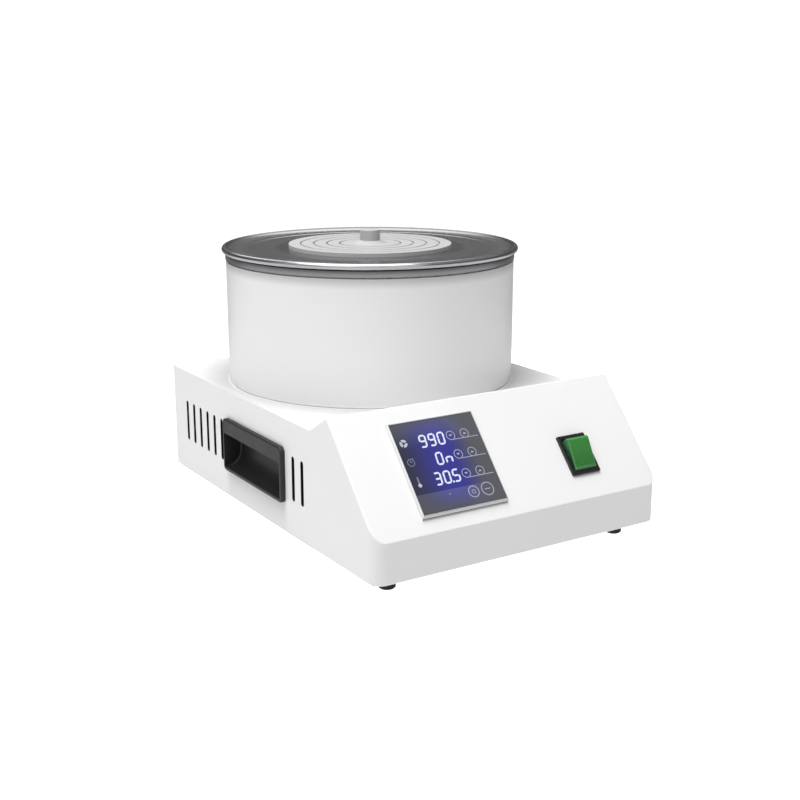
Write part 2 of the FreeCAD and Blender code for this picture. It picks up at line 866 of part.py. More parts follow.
def rocker_at_rest():
    """The rocker, tilted about its pivots with its lower end pressed in."""
    half_top = rocker_length / 2
    half_bottom = rocker_bottom_length / 2
    face_end = half_top - rocker_end_bevel
    bevel_foot = rocker_above_pivot - rocker_end_bevel
    outline = [vec(0, -half_top, bevel_foot), vec(0, -face_end, rocker_above_pivot),
               vec(0, face_end, rocker_above_pivot), vec(0, half_top, bevel_foot),
               vec(0, half_bottom, -rocker_below_pivot), vec(0, -half_bottom, -rocker_below_pivot)]
    body = polygon_face(outline).extrude(along_x(rocker_width)).translated(along_x(-rocker_width / 2))
    body = rounded_top(body, rocker_edge_radius)
    pivots = cross_rod(pivot_radius, rocker_width + 2 * pivot_reach, -rocker_width / 2 - pivot_reach, 0, 0)
    whole = body.fuse(pivots).rotated(vec(0, 0, 0), vec(1, 0, 0), rocker_tilt)
    return on_panel(whole, switch_x, switch_up_slope, bezel_thickness - pivot_below_bezel)


def switch_terminals():
    blade = block(terminal_width, terminal_thickness, terminal_length)
    blades = [on_panel(blade.translated(vec(x, y, 0)), switch_x, switch_up_slope,
                       -switch_body_depth - terminal_length)
              for x, y in corner_places(terminal_spacing_x, terminal_spacing_y)]
    return group(blades)


def jacket_screw_places():
    return ring_places(jacket_screw_count, jacket_radius - jacket_foot_flange / 2, 30.0)


def bath_jacket():
    """Painted outer wall with a turned-in lip above and a turned-in flange on the deck."""
    bend = jacket_bend_radius
    inner_bend = bend - jacket_sheet
    outer = jacket_radius
    inner = jacket_inner
    foot = outer - jacket_foot_flange
    bend_point = bend * (1 - math.cos(math.pi / 4))
    inner_bend_point = inner_bend * (1 - math.cos(math.pi / 4))
    flange_top = deck_z + jacket_sheet
    steps = [(foot, deck_z), (outer - bend, deck_z),
             ((outer - bend_point, deck_z + bend_point), (outer, deck_z + bend)),
             (outer, jacket_z), (outer - jacket_lip, jacket_z),
             (outer - jacket_lip, jacket_z - jacket_sheet), (inner, jacket_z - jacket_sheet),
             (inner, flange_top + inner_bend),
             ((inner - inner_bend_point, flange_top + inner_bend_point), (inner - inner_bend, flange_top)),
             (foot, flange_top)]
    jacket = turned_curve(steps)
    hole = rod(jacket_screw_radius, 3 * jacket_sheet, 0, 0, deck_z - jacket_sheet)
    return jacket.cut([hole.translated(vec(x, y, 0)) for x, y in jacket_screw_places()])


def jacket_screws():
    length = shell_wall + jacket_sheet + screw_tip
    one = flipped(screw(jacket_screw_radius - thread_clearance, length))
    return group([one.translated(vec(x, y, deck_z - shell_wall)) for x, y in jacket_screw_places()])


def bath_pot():
    """Drawn steel pot whose rim turns out and down over the jacket."""
    sheet = pot_sheet
    inner = pot_radius
    corner = pot_corner_radius
    outer_corner = corner + sheet
    share = 1 - math.cos(math.pi / 4)
    steps = [(0, pot_bottom), (pot_outer - outer_corner, pot_bottom),
             ((pot_outer - outer_corner * share, pot_bottom + outer_corner * share),
              (pot_outer, pot_bottom + outer_corner)),
             (pot_outer, rim_z - sheet), (rim_radius - sheet, rim_z - sheet),
             (rim_radius - sheet, wall_bottom + rim_bottom), (rim_radius, wall_bottom + rim_bottom),
             (rim_radius, rim_z - rim_bend), (rim_radius - rim_bend, rim_z),
             (inner + rim_bend, rim_z), (inner, rim_z - rim_bend), (inner, pot_floor + corner),
             ((inner - corner * share, pot_floor + corner * share), (inner - corner, pot_floor)),
             (0, pot_floor)]
    return turned_curve(steps)


def rim_seal():
    """Soft ring that carries the pot's rim on the jacket's lip."""
    outer = jacket_radius - seal_inset
    return tube(outer, outer - seal_width, rim_z - pot_sheet - jacket_z, bath_y, jacket_z)


def heater_bottom():
    return pot_bottom + pot_corner_radius + pot_sheet + heater_above_floor


def lug_block(extra):
    """The room of the heater's clamping lugs, at the back of the pot."""
    width = 2 * heater_lug_width + heater_slit + 2 * extra
    depth = heater_thickness + heater_lug_reach + lug_root + 2 * extra
    start = bath_y + pot_outer - lug_root - extra
    return block(width, depth, heater_height + 2 * extra, 0, start + depth / 2, heater_bottom() - extra)


def heater_screw_place():
    """Where the clamping screw leaves the lug on the right."""
    reach = heater_lug_width + heater_slit / 2
    y = bath_y + pot_outer + heater_thickness + heater_lug_reach / 2
    return vec(reach, y, heater_bottom() + heater_height / 2)


def band_heater():
    """Heating band round the pot, open at the back between its two clamping lugs."""
    band = tube(pot_outer + heater_thickness, pot_outer, heater_height, bath_y, heater_bottom())
    lugs = lug_block(0).cut(rod(pot_outer, heater_height, 0, bath_y, heater_bottom()))
    slit = block(heater_slit, 2 * pot_corner_radius + 2 * heater_lug_reach, heater_height, 0,
                 bath_y + pot_outer, heater_bottom())
    place = heater_screw_place()
    hole = cross_rod(heater_screw_radius + heater_screw_clearance, 2 * place.x, -place.x, place.y, place.z)
    return band.fuse(lugs).cut([slit, hole]).removeSplitter()


def heater_screw():
    """The screw that draws the heater's lugs together."""
    place = heater_screw_place()
    one = screw(heater_screw_radius, 2 * place.x).rotated(vec(0, 0, 0), vec(0, 1, 0), 90)
    return one.translated(place)


def insulation_sleeve():
    """Blanket between the pot with its heater and the jacket."""
    inner = pot_outer + heater_thickness + sleeve_gap
    outer = jacket_inner - sleeve_gap
    low = deck_z + jacket_sheet + jacket_bend_radius
    high = jacket_z - jacket_sheet - sleeve_gap
    sleeve = tube(outer, inner, high - low, bath_y, low)
    return sleeve.cut(lug_block(lug_room))


def floor_insulation():
    """Board ring between the deck and the pot's floor, inside the jacket's flange."""
    outer = jacket_radius - jacket_foot_flange - floor_ring_gap
    return tube(outer, floor_ring_inner_radius, pot_floor_gap, bath_y, deck_z)


def temperature_probe():
    """Capsule held against the pot's floor, just outside the magnets' circle."""
    capsule = Part.makeCylinder(probe_radius, probe_length, vec(0, bath_y + probe_from_axis,
                                                                pot_bottom - probe_radius), vec(0, 1, 0))
    return capsule.makeFillet(probe_end_radius, end_edges(capsule))


def end_edges(cylinder):
    """The two circular edges of a cylinder."""
    return [edge for edge in cylinder.Edges if edge.isClosed()]


def probe_clip():
    """Strap under the probe, with a foot each side on the pot's floor."""
    outer = probe_radius + clip_thickness
    y = bath_y + probe_from_axis + probe_length / 2
    hump = block(2 * outer, clip_width, 2 * probe_radius + clip_thickness, 0, y,
                 pot_bottom - 2 * probe_radius - clip_thickness)
    feet = block(2 * (outer + clip_foot), clip_width, clip_thickness, 0, y, pot_bottom - clip_thickness)
    room = block(2 * probe_radius, clip_width + 2, 2 * probe_radius, 0, y, pot_bottom - 2 * probe_radius)
    return hump.fuse(feet).cut(room).removeSplitter()


def lid_plate():
    """Spun plate that flares up into a bead rolled over its edge."""
    flare = math.radians(lid_flare_angle)
    inner_bead = bead_radius - lid_sheet

    def on_bead(radius, angle):
        return (bead_centre - radius * math.sin(angle), bead_centre_z + radius * math.cos(angle))

    crest, crest_z = on_bead(bead_radius, flare)
    sweep = (crest_z - plate_z) / (1 - math.cos(flare))
    flat_edge = crest - sweep * math.sin(flare)

    def on_sweep(radius, angle):
        return (flat_edge + radius * math.sin(angle), plate_z + sweep - radius * math.cos(angle))

    under_z = rim_z + lid_sheet
    steps = [(lid_hole_radius, plate_z), (flat_edge, plate_z),
             (on_sweep(sweep, flare / 2), (crest, crest_z)),
             ((bead_centre + bead_radius, bead_centre_z), (bead_centre, rim_z)),
             (lid_foot_radius, rim_z), (lid_foot_radius, under_z), (bead_centre, under_z),
             ((bead_centre + inner_bead, bead_centre_z), on_bead(inner_bead, flare)),
             (on_sweep(sweep + lid_sheet, flare / 2), (flat_edge, plate_z - lid_sheet)),
             (lid_hole_radius, plate_z - lid_sheet)]
    return turned_curve(steps)


def lid_locating_ring():
    """Ring spot-welded under the lid, which keeps it centred in the pot's mouth."""
    outer = pot_radius - locating_gap
    top = plate_z - lid_sheet
    outline = [(outer - locating_flange, top - lid_sheet), (outer - lid_sheet, top - lid_sheet),
               (outer - lid_sheet, top - locating_depth), (outer, top - locating_depth),
               (outer, top), (outer - locating_flange, top)]
    return turned(outline, bath_y)


def gap_radius(index):
    """Middle of the gap round the centre cover (index 0) and round each ring after it."""
    return cover_radius + index * ring_step


def reducing_ring(index):
    """One ring: its upper part hangs on the next ring's ledge, and its own ledge takes the last."""
    gap = gap_radius(index)
    inner = gap + ring_gap / 2
    ledge_inner = gap - ring_ledge
    if index == ring_count - 1:
        lip_outer = lid_hole_radius - lip_clearance
        lip_inner = lip_outer - lip_thickness
        rest = [(disc_radius, disc_z), (disc_radius, plate_z), (lip_outer, plate_z),
                (lip_outer, plate_z - lip_depth), (lip_inner, plate_z - lip_depth), (lip_inner, plate_z)]
    else:
        outer = gap_radius(index + 1) - ring_gap / 2
        low_outer = gap_radius(index + 1) - ring_ledge - ledge_gap
        rest = [(outer, disc_z), (outer, ledge_z), (low_outer, ledge_z), (low_outer, plate_z)]
    outline = [(ledge_inner, ledge_z), (inner, ledge_z), (inner, disc_z)] + rest + [(ledge_inner, plate_z)]
    return turned(outline, bath_y)


def centre_cover():
    """Innermost piece of the lid, raised to a low hub under its knob."""
    upper = cover_radius - ring_gap / 2
    lower = cover_radius - ring_ledge - ledge_gap
    hole = knob_screw_radius + screw_hole_clearance
    outline = [(hole, plate_z), (lower, plate_z), (lower, ledge_z), (upper, ledge_z), (upper, disc_z),
               (hub_foot_radius, disc_z), (hub_top_radius, knob_z), (hole, knob_z)]
    return turned(outline, bath_y)


def lid_knob():
    knob = rounded_top(rod(knob_radius, knob_height), knob_edge_radius)
    knob = knob.cut(rod(knob_screw_radius + thread_clearance, knob_screw_depth + knob_hole_extra))
    return knob.translated(vec(0, bath_y, knob_z))


def knob_screw():
    one = flipped(screw(knob_screw_radius, disc_thickness + cover_hub_height + knob_screw_depth))
    return one.translated(vec(0, bath_y, plate_z))


def bracket_screw_places():
    reach = bracket_width / 2 + bracket_foot / 2
    return [(side * reach, bath_y + end * bracket_depth / 4) for side in (-1, 1) for end in (-1, 1)]


def motor_bracket():
    """Folded bridge over the base plate that carries the motor."""
    height = bracket_z - base_top
    outer = block(bracket_width, bracket_depth, height, 0, bath_y, base_top)
    top_edges = [edge for edge in edges_at_height(outer, bracket_z) if edge.BoundBox.XLength < 1e-6]
    outer = outer.makeFillet(bracket_bend_radius, top_edges)
    inner_width = bracket_width - 2 * bracket_sheet
    inner = block(inner_width, 2 * bracket_depth, height - bracket_sheet, 0, bath_y, base_top)
    feet = block(bracket_width + 2 * bracket_foot, bracket_depth, bracket_sheet, 0, bath_y, base_top)
    bridge = outer.fuse(feet).cut(inner)
    holes = [rod(motor_boss_radius + motor_boss_clearance, 4 * bracket_sheet, 0, bath_y,
                 bracket_z - 2 * bracket_sheet)]
    holes += [rod(motor_screw_radius + screw_hole_clearance, 4 * bracket_sheet, x, y,
                  bracket_z - 2 * bracket_sheet) for x, y in ring_places(4, motor_screw_circle, 45)]
    holes += [rod(bracket_screw_radius, 4 * bracket_sheet, x, y, base_top - bracket_sheet)
              for x, y in bracket_screw_places()]
    return bridge.cut(holes).removeSplitter()


def bracket_screws():
    length = base_thickness + bracket_sheet + screw_tip
    one = flipped(screw(bracket_screw_radius - thread_clearance, length))
    return group([one.translated(vec(x, y, wall_bottom)) for x, y in bracket_screw_places()])


def motor_top():
    return bracket_z - bracket_sheet


def motor_housing():
    """Closed motor can, with the seats of its two bearings."""
    bottom = motor_top() - motor_height
    can = rod(motor_radius, motor_height, 0, bath_y, bottom)
    cap = rod(motor_radius + motor_cap_overhang, motor_cap_height, 0, bath_y,
              motor_top() - motor_cap_height)
    boss = rod(motor_boss_radius, motor_boss_height, 0, bath_y, motor_top())
    bore = rod(shaft_radius + shaft_room, motor_height, 0, bath_y, bottom + motor_cap_height)
    seat = rod(bearing_radius, bearing_height, 0, bath_y, upper_bearing_z())
    low_seat = rod(bearing_radius, bearing_height, 0, bath_y, bottom + motor_cap_height)
    hole_depth = motor_screw_depth + motor_hole_extra
    screw_holes = [rod(motor_screw_radius, hole_depth, x, y, motor_top() - hole_depth)
                   for x, y in ring_places(4, motor_screw_circle, 45)]
    return can.fuse([cap, boss]).cut([bore, seat, low_seat] + screw_holes).removeSplitter()


def upper_bearing_z():
    return motor_top() + motor_boss_height - bearing_height


def motor_bearings():
    bore = shaft_radius + running_clearance
    low = motor_top() - motor_height + motor_cap_height
    return group([tube(bearing_radius, bore, bearing_height, bath_y, upper_bearing_z()),
                  tube(bearing_radius, bore, bearing_height, bath_y, low)])


def motor_screws():
    one = screw(motor_screw_radius - thread_clearance, bracket_sheet + motor_screw_depth)
    return group([one.translated(vec(x, y, bracket_z)) for x, y in ring_places(4, motor_screw_circle, 45)])


def drive_shaft():
    low = motor_top() - motor_height + motor_cap_height
    return rod(shaft_radius, holder_z + holder_thickness - low, 0, bath_y, low)


def magnet_places():
    return [(side * magnet_from_axis, bath_y) for side in (-1, 1)]


def magnet_holder():
    """Steel disc with a hub on the shaft and a seat for each magnet."""
    disc_edge = magnet_from_axis + magnet_radius + magnet_edge_width
    disc = rod(disc_edge, holder_thickness, 0, bath_y, holder_z)
    hub = rod(holder_hub_radius, holder_hub_height, 0, bath_y, hub_z)
    bore = rod(shaft_radius, 4 * holder_hub_height, 0, bath_y, hub_z - 1)
    seats = [rod(magnet_radius, magnet_seat_depth, x, y, holder_z + holder_thickness - magnet_seat_depth)
             for x, y in magnet_places()]
    return disc.fuse(hub).cut([bore] + seats).removeSplitter()


def drive_magnets():
    seat = holder_z + holder_thickness - magnet_seat_depth
    return group([rod(magnet_radius, magnet_height, x, y, seat) for x, y in magnet_places()])


def stir_bar():
    """Coated bar magnet with a pivot ring round its middle, just off the pot's floor."""
    height = pot_floor + stir_bar_gap + stir_ring_radius
    bar = cross_rod(stir_bar_radius, stir_bar_length, -stir_bar_length / 2, bath_y, height)
    bar = bar.makeFillet(stir_bar_end_radius, end_edges(bar))
    ring = cross_rod(stir_ring_radius, stir_ring_width, -stir_ring_width / 2, bath_y, height)
    return bar.fuse(ring)


def standoff_places():
    inset = 2 * power_board_hole_inset
    return corner_places(power_board_width - inset, power_board_depth - inset, power_board_x, power_board_y)


def power_board():
    """Board with its relays, capacitors and terminal block."""
    board = block(power_board_width, power_board_depth, board_thickness, power_board_x, power_board_y, board_z)
    top = board_z + board_thickness
    row_y = power_board_y - front_row_from_middle
    relays = [block(*relay_size, board_x_left + first_relay_from_edge + index * relay_pitch, row_y, top)
              for index in range(2)]
    capacitors = [rod(capacitor_radius, capacitor_height,
                      board_x_left + first_capacitor_from_edge + index * capacitor_pitch, row_y, top)
                  for index in range(2)]
    terminals = block(*terminal_block_size, board_x_left + terminal_block_from_edge,
                      power_board_y + terminal_block_from_middle, top)
    board = board.fuse(relays + capacitors + [terminals])
    holes = [rod(board_screw_radius + screw_hole_clearance, 4 * board_thickness, x, y,
                 board_z - board_thickness) for x, y in standoff_places()]
    return board.cut(holes)


def board_standoffs():
    pillar = rod(standoff_radius, standoff_height)
    pillar = pillar.cut(rod(board_screw_radius + thread_clearance, standoff_height))
    return group([pillar.translated(vec(x, y, base_top)) for x, y in standoff_places()])


def power_board_screws():
    upper = screw(board_screw_radius, board_thickness + power_board_screw_depth)
    lower = flipped(screw(board_screw_radius, base_thickness + power_board_screw_depth))
    screws = [upper.translated(vec(x, y, board_z + board_thickness)) for x, y in standoff_places()]
    screws += [lower.translated(vec(x, y, wall_bottom)) for x, y in standoff_places()]
    return group(screws)


def heat_sink():
    """Finned block that cools the heater's switching device."""
    x = power_board_x + power_board_width / 2 - sink_width / 2 - power_board_hole_inset
    y = power_board_y + power_board_depth / 2 - sink_depth / 2 - 2 * power_board_hole_inset
    z = board_z + board_thickness
    back = block(sink_width, sink_back_thickness, sink_height, x,
                 y - sink_depth / 2 + sink_back_thickness / 2, z)
    pitch = (sink_width - sink_fin_thickness) / (sink_fin_count - 1)
    first = x - sink_width / 2 + sink_fin_thickness / 2
    fins = [block(sink_fin_thickness, sink_depth, sink_height, first + index * pitch, y, z)
            for index in range(sink_fin_count)]
    return back.fuse(fins).removeSplitter()


def transformer_screw_places():
    reach = transformer_width / 2 + transformer_tab / 2
    return [(transformer_x + side * reach, power_board_y) for side in (-1, 1)]


def transformer():
    """Laminated core with its winding, on a strap with a tab each side."""
    y = power_board_y
    winding = block(winding_width, transformer_depth, winding_height, transformer_x, y,
                    base_top + transformer_tab_thickness + winding_from_foot)
    core = block(transformer_width, transformer_stack, transformer_height, transformer_x, y,
                 base_top + transformer_tab_thickness)
    strap = block(transformer_width + 2 * transformer_tab, transformer_stack, transformer_tab_thickness,
                  transformer_x, y, base_top)
    holes = [rod(transformer_screw_radius, 4 * transformer_tab_thickness, x, place_y,
                 base_top - transformer_tab_thickness) for x, place_y in transformer_screw_places()]
    return core.fuse([winding, strap]).cut(holes).removeSplitter()


def transformer_screws():
    length = base_thickness + transformer_tab_thickness + screw_tip
    one = flipped(screw(transformer_screw_radius - thread_clearance, length))
    return group([one.translated(vec(x, y, wall_bottom)) for x, y in transformer_screw_places()])


def inlet_body():
    """Mains socket: flange, body, keyed recess and the channel of the fuse drawer."""
    flange = slab(inlet_flange_width, inlet_flange_height, inlet_flange_proud, inlet_corner_radius)
    body = block(inlet_body_width, inlet_body_height, inlet_body_depth, 0, 0, -inlet_body_depth)
    recess = block(socket_width, socket_height, socket_depth, 0, socket_rise, inlet_flange_proud - socket_depth)
    lower_edges = [edge for edge in upright_edges(recess) if edge.BoundBox.YMax < socket_rise]
    recess = recess.makeChamfer(socket_chamfer, lower_edges)
    channel = block(drawer_width + 2 * drawer_clearance, drawer_height + 2 * drawer_clearance,
                    drawer_depth + drawer_clearance, 0, -drawer_drop,
                    inlet_flange_proud - drawer_depth - drawer_clearance)
    sink = countersunk_screw(inlet_screw_radius + screw_hole_clearance, 4 * inlet_flange_proud)
    holes = [sink.translated(vec(side * inlet_screw_spacing / 2, 0, inlet_flange_proud)) for side in (-1, 1)]
    shape = flange.fuse(body).cut([recess, channel] + holes + inlet_pin_blanks())
    return on_rear(shape, inlet_x, inlet_centre_height)


def inlet_pin_blanks():
    """Three flat pins, each from its tip in the recess to its tail behind the body."""
    length = pin_length + (inlet_body_depth + inlet_flange_proud - socket_depth) + pin_tail
    start = -inlet_body_depth - pin_tail
    places = [(-pin_spacing, socket_rise - pin_offset), (0, socket_rise + pin_offset),
              (pin_spacing, socket_rise - pin_offset)]
    return [block(pin_width, pin_height, length, x, y, start) for x, y in places]


def inlet_pins():
    return group([on_rear(pin, inlet_x, inlet_centre_height) for pin in inlet_pin_blanks()])


def fuse_drawer():
    """Drawer flush with the flange, with a finger notch in its lower edge."""
    drawer = block(drawer_width, drawer_height, drawer_depth, 0, -drawer_drop, inlet_flange_proud - drawer_depth)
    notch_width, notch_height, notch_depth = drawer_notch_size
    notch = block(notch_width, notch_height, 2 * notch_depth, 0,
                  -drawer_drop - drawer_height / 2 + notch_height / 2, inlet_flange_proud - notch_depth)
    return on_rear(drawer.cut(notch), inlet_x, inlet_centre_height)


def inlet_screws():
    one = countersunk_screw(inlet_screw_radius, inlet_flange_proud + shell_wall + screw_tip)
    places = [vec(side * inlet_screw_spacing / 2, 0, inlet_flange_proud) for side in (-1, 1)]
    return group([on_rear(one.translated(place), inlet_x, inlet_centre_height) for place in places])


def main():
    os.makedirs("parts", exist_ok=True)
    pieces = {
        "housing_shell": housing_shell(),
        "base_plate": base_plate(),
        "base_screws": base_screws(),
        "foot_screws": foot_screws(),
        "foot_nuts": foot_nuts(),
        "grip_left": placed_grip(-1),
        "grip_right": placed_grip(1),
        "display_frame": display_frame(),
        "touch_glass": touch_glass(),
        "lcd_module": lcd_module(),
        "control_board": control_board(),
        "control_board_screws": control_board_screws(),
        "switch_body": switch_body(),
        "switch_rocker": rocker_at_rest(),
        "switch_terminals": switch_terminals(),
        "bath_jacket": bath_jacket(),
        "jacket_screws": jacket_screws(),
        "bath_pot": bath_pot(),
        "rim_seal": rim_seal(),
        "band_heater": band_heater(),
        "heater_screw": heater_screw(),
        "insulation_sleeve": insulation_sleeve(),
        "floor_insulation": floor_insulation(),
        "temperature_probe": temperature_probe(),
        "probe_clip": probe_clip(),
        "lid_plate": lid_plate(),
        "lid_locating_ring": lid_locating_ring(),
        "centre_cover": centre_cover(),
        "lid_knob": lid_knob(),
        "knob_screw": knob_screw(),
        "motor_bracket": motor_bracket(),
        "bracket_screws": bracket_screws(),
        "motor_housing": motor_housing(),
        "motor_bearings": motor_bearings(),
        "motor_screws": motor_screws(),
        "drive_shaft": drive_shaft(),
        "magnet_holder": magnet_holder(),
        "drive_magnets": drive_magnets(),
        "stir_bar": stir_bar(),
        "power_board": power_board(),
        "board_standoffs": board_standoffs(),
        "power_board_screws": power_board_screws(),
        "heat_sink": heat_sink(),
        "transformer": transformer(),
        "transformer_screws": transformer_screws(),
        "inlet_body": inlet_body(),
        "inlet_pins": inlet_pins(),
        "fuse_drawer": fuse_drawer(),
        "inlet_screws": inlet_screws(),
    }
    one_foot = foot()
    for name, (x, y) in foot_places().items():
        pieces[name] = one_foot.translated(vec(x, y, 0))
    for index in range(ring_count):
        pieces[f"reducing_ring_{index + 1}"] = reducing_ring(index)
    for name, shape in pieces.items():
        save(name, shape)


main()
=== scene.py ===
"""Looks of the stirred water bath: finishes, printed display, studio and camera.

Laid out as a Blender add-on and run as a script. Lengths are millimetres, turned to metres by mm(), but
the floor, the lights and their places are in metres. Places on the sloped panel run right (across) and
up the slope (rise) from a piece's middle.
"""
import math

import bmesh
import bpy
from mathutils import Matrix, Vector


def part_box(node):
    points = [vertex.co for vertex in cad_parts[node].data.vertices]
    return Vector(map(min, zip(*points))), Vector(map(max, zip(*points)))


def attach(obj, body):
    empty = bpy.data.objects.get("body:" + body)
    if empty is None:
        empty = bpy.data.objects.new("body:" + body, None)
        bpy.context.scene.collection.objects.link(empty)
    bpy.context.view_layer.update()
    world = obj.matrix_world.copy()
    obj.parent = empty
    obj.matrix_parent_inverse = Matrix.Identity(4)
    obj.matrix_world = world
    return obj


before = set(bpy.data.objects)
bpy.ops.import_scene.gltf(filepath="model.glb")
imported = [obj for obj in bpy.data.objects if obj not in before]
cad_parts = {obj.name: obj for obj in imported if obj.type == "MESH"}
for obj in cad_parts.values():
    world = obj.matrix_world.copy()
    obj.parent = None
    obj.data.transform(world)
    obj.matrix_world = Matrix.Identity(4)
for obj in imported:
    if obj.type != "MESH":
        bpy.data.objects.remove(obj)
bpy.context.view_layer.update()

bl_info = {
    "name": "Stirred water bath finishes",
    "version": (1, 0, 0),
    "blender": (4, 5, 0),
    "location": "3D View > Sidebar > Water Bath",
    "description": "Finishes, display print and studio for the stirred water bath",
    "category": "Object",
}


def mm(value):
    """Millimetres to metres."""
    return value / 1000.0


def in_mm(length):
    """Metres to millimetres."""
    return length * 1000.0


# Shader building


class Signal:
    """A number socket in a shader; Python's operators on it add Math nodes."""

    def __init__(self, tree, socket):
        self.tree = tree
        self.socket = socket

    def maths(self, operation, first, second=0.5):
        return self.tree.node("ShaderNodeMath", {"operation": operation}, {0: first, 1: second})

    def __add__(self, other):
        return self.maths("ADD", self, other)

    def __radd__(self, other):
        return self.maths("ADD", other, self)

    def __sub__(self, other):
        return self.maths("SUBTRACT", self, other)

    def __rsub__(self, other):
        return self.maths("SUBTRACT", other, self)

    def __mul__(self, other):
        return self.maths("MULTIPLY", self, other)

    def __rmul__(self, other):
        return self.maths("MULTIPLY", other, self)

    def __gt__(self, other):
        return self.maths("GREATER_THAN", self, other)

    def __lt__(self, other):
        return self.maths("LESS_THAN", self, other)

    def __abs__(self):
        return self.maths("ABSOLUTE", self)


class ShaderTree:
    """The shader of a material or of the surroundings, and the nodes that feed it."""

    def __init__(self, owner, shader_type):
        owner.use_nodes = True
        self.nodes = owner.node_tree.nodes
        self.links = owner.node_tree.links
        self.shader = next(node for node in self.nodes if node.type == shader_type)

    def set(self, socket_name, value):
        self.feed(self.shader.inputs[socket_name], value)

    def feed(self, socket, value):
        """Link a signal to a socket, or write a constant on it."""
        if isinstance(value, Signal):
            self.links.new(value.socket, socket)
        elif socket.type == "RGBA" and len(value) == 3:
            socket.default_value = (*value, 1.0)
        else:
            socket.default_value = value

    def node(self, kind, settings=None, inputs=None, output=0):
        """Add any node: its settings are set first, then the values or links of its sockets."""
        made = self.nodes.new(kind)
        for name, value in (settings or {}).items():
            setattr(made, name, value)
        for key, value in (inputs or {}).items():
            self.feed(made.inputs[key], value)
        return Signal(self, made.outputs[output])

    def place(self):
        """The point on the surface, in metres in the part's own frame."""
        return self.node("ShaderNodeTexCoord", output="Object")

    def facing(self):
        """The surface's own normal, in the part's frame."""
        return self.node("ShaderNodeTexCoord", output="Normal")

    def along(self, vector, direction):
        """How far a vector reaches along a fixed direction."""
        settings = {"operation": "DOT_PRODUCT"}
        return self.node("ShaderNodeVectorMath", settings, {0: vector, 1: tuple(direction)}, "Value")

    def offset(self, vector, origin):
        return self.node("ShaderNodeVectorMath", {"operation": "SUBTRACT"}, {0: vector, 1: tuple(origin)})

    def stretched(self, vector, scales):
        return self.node("ShaderNodeVectorMath", {"operation": "MULTIPLY"}, {0: vector, 1: tuple(scales)})

    def length(self, vector):
        return self.node("ShaderNodeVectorMath", {"operation": "LENGTH"}, {0: vector}, "Value")

    def noise(self, size, detail=2.0, vector=None):
        """Soft noise from 0 to 1 whose blobs are about size millimetres across."""
        where = vector if vector is not None else self.place()
        inputs = {"Vector": where, "Scale": 1.0 / mm(size), "Detail": detail}
        return self.node("ShaderNodeTexNoise", None, inputs)

    def remap(self, value, low, high, start=0.0, end=1.0):
        """Map low..high to start..end, held at both ends."""
        inputs = {"Value": value, "From Min": low, "From Max": high, "To Min": start, "To Max": end}
        return self.node("ShaderNodeMapRange", {"clamp": True}, inputs)

    def smooth(self, value, low, high):
        """Rise from 0 at low to 1 at high, with soft ends."""
        inputs = {"Value": value, "From Min": low, "From Max": high}
        return self.node("ShaderNodeMapRange", {"interpolation_type": "SMOOTHSTEP"}, inputs)

    def wave(self, length, period):
        """A sine from -1 to 1 along a length in metres, whose period is in millimetres."""
        return self.node("ShaderNodeMath", {"operation": "SINE"}, {0: length * (2 * math.pi / mm(period))})

    def mix(self, factor, first, second):
        """Mix two colours."""
        settings = {"data_type": "RGBA", "blend_type": "MIX", "clamp_factor": True}
        return self.node("ShaderNodeMix", settings, {0: factor, 6: first, 7: second}, 2)


NOISE_LOW = 0.3
NOISE_HIGH = 0.7


class Finish(ShaderTree):
    """One material with its Principled shader; constants go on the shader's own sockets."""

    def __init__(self, name, **constants):
        self.material = bpy.data.materials.new(name)
        super().__init__(self.material, "BSDF_PRINCIPLED")
        for socket_name, value in constants.items():
            self.set(socket_name.replace("_", " ").title().replace("Ior", "IOR"), value)

    def vary_roughness(self, signal, smoothest, roughest):
        """Let the roughness follow a noise, most of which lies from NOISE_LOW to NOISE_HIGH."""
        self.set("Roughness", self.remap(signal, NOISE_LOW, NOISE_HIGH, smoothest, roughest))

    def bump(self, height, depth):
        """Feed the normal with a relief whose full height is depth millimetres."""
        inputs = {"Height": height, "Distance": mm(depth), "Strength": 1.0}
        self.set("Normal", self.node("ShaderNodeBump", None, inputs))


def grey(level):
    return (level, level, level)


def scaled(colour, factor):
    return tuple(part * factor for part in colour)


def lifted(colour, factor, lift):
    """A paler version of a colour, kept within white."""
    return tuple(min(1.0, part * factor + lift) for part in colour)


def around_axis(finish):
    """Distance from the bath's upright axis, in metres."""
    flat = finish.stretched(finish.offset(finish.place(), (BATH_AXIS.x, BATH_AXIS.y, 0)), (1, 1, 0))
    return finish.length(flat)


# Places read from the frame


def middle(node):
    low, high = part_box(node)
    return (low + high) / 2


BATH_AXIS = middle("bath_pot")
PANEL_ACROSS = Vector((1, 0, 0))


LEAST_TILT = 0.3
SAME_PLANE = 0.01


def outward_face(node):
    """Middle and normal of a node's large face that looks up and to the front."""
    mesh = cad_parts[node].data
    seen = [face for face in mesh.polygons if face.normal.z > LEAST_TILT and face.normal.y < -LEAST_TILT]
    top = max(face.normal.dot(face.center) for face in seen)
    outer = [face for face in seen if face.normal.dot(face.center) > top - mm(SAME_PLANE)]
    area = sum(face.area for face in outer)
    centre = sum((face.center * face.area for face in outer), Vector()) / area
    return centre, outer[0].normal.copy()


GLASS_CENTRE, PANEL_NORMAL = outward_face("touch_glass")
PANEL_RISE = PANEL_NORMAL.cross(PANEL_ACROSS)


def panel_matrix(centre, origin):
    """Placement of a flat drawing on the panel: X right, Y up the slope, Z outward."""
    across, rise = origin
    matrix = Matrix((PANEL_ACROSS, PANEL_RISE, PANEL_NORMAL)).transposed().to_4x4()
    matrix.translation = centre + PANEL_ACROSS * mm(across) + PANEL_RISE * mm(rise)
    return matrix


# Mesh building

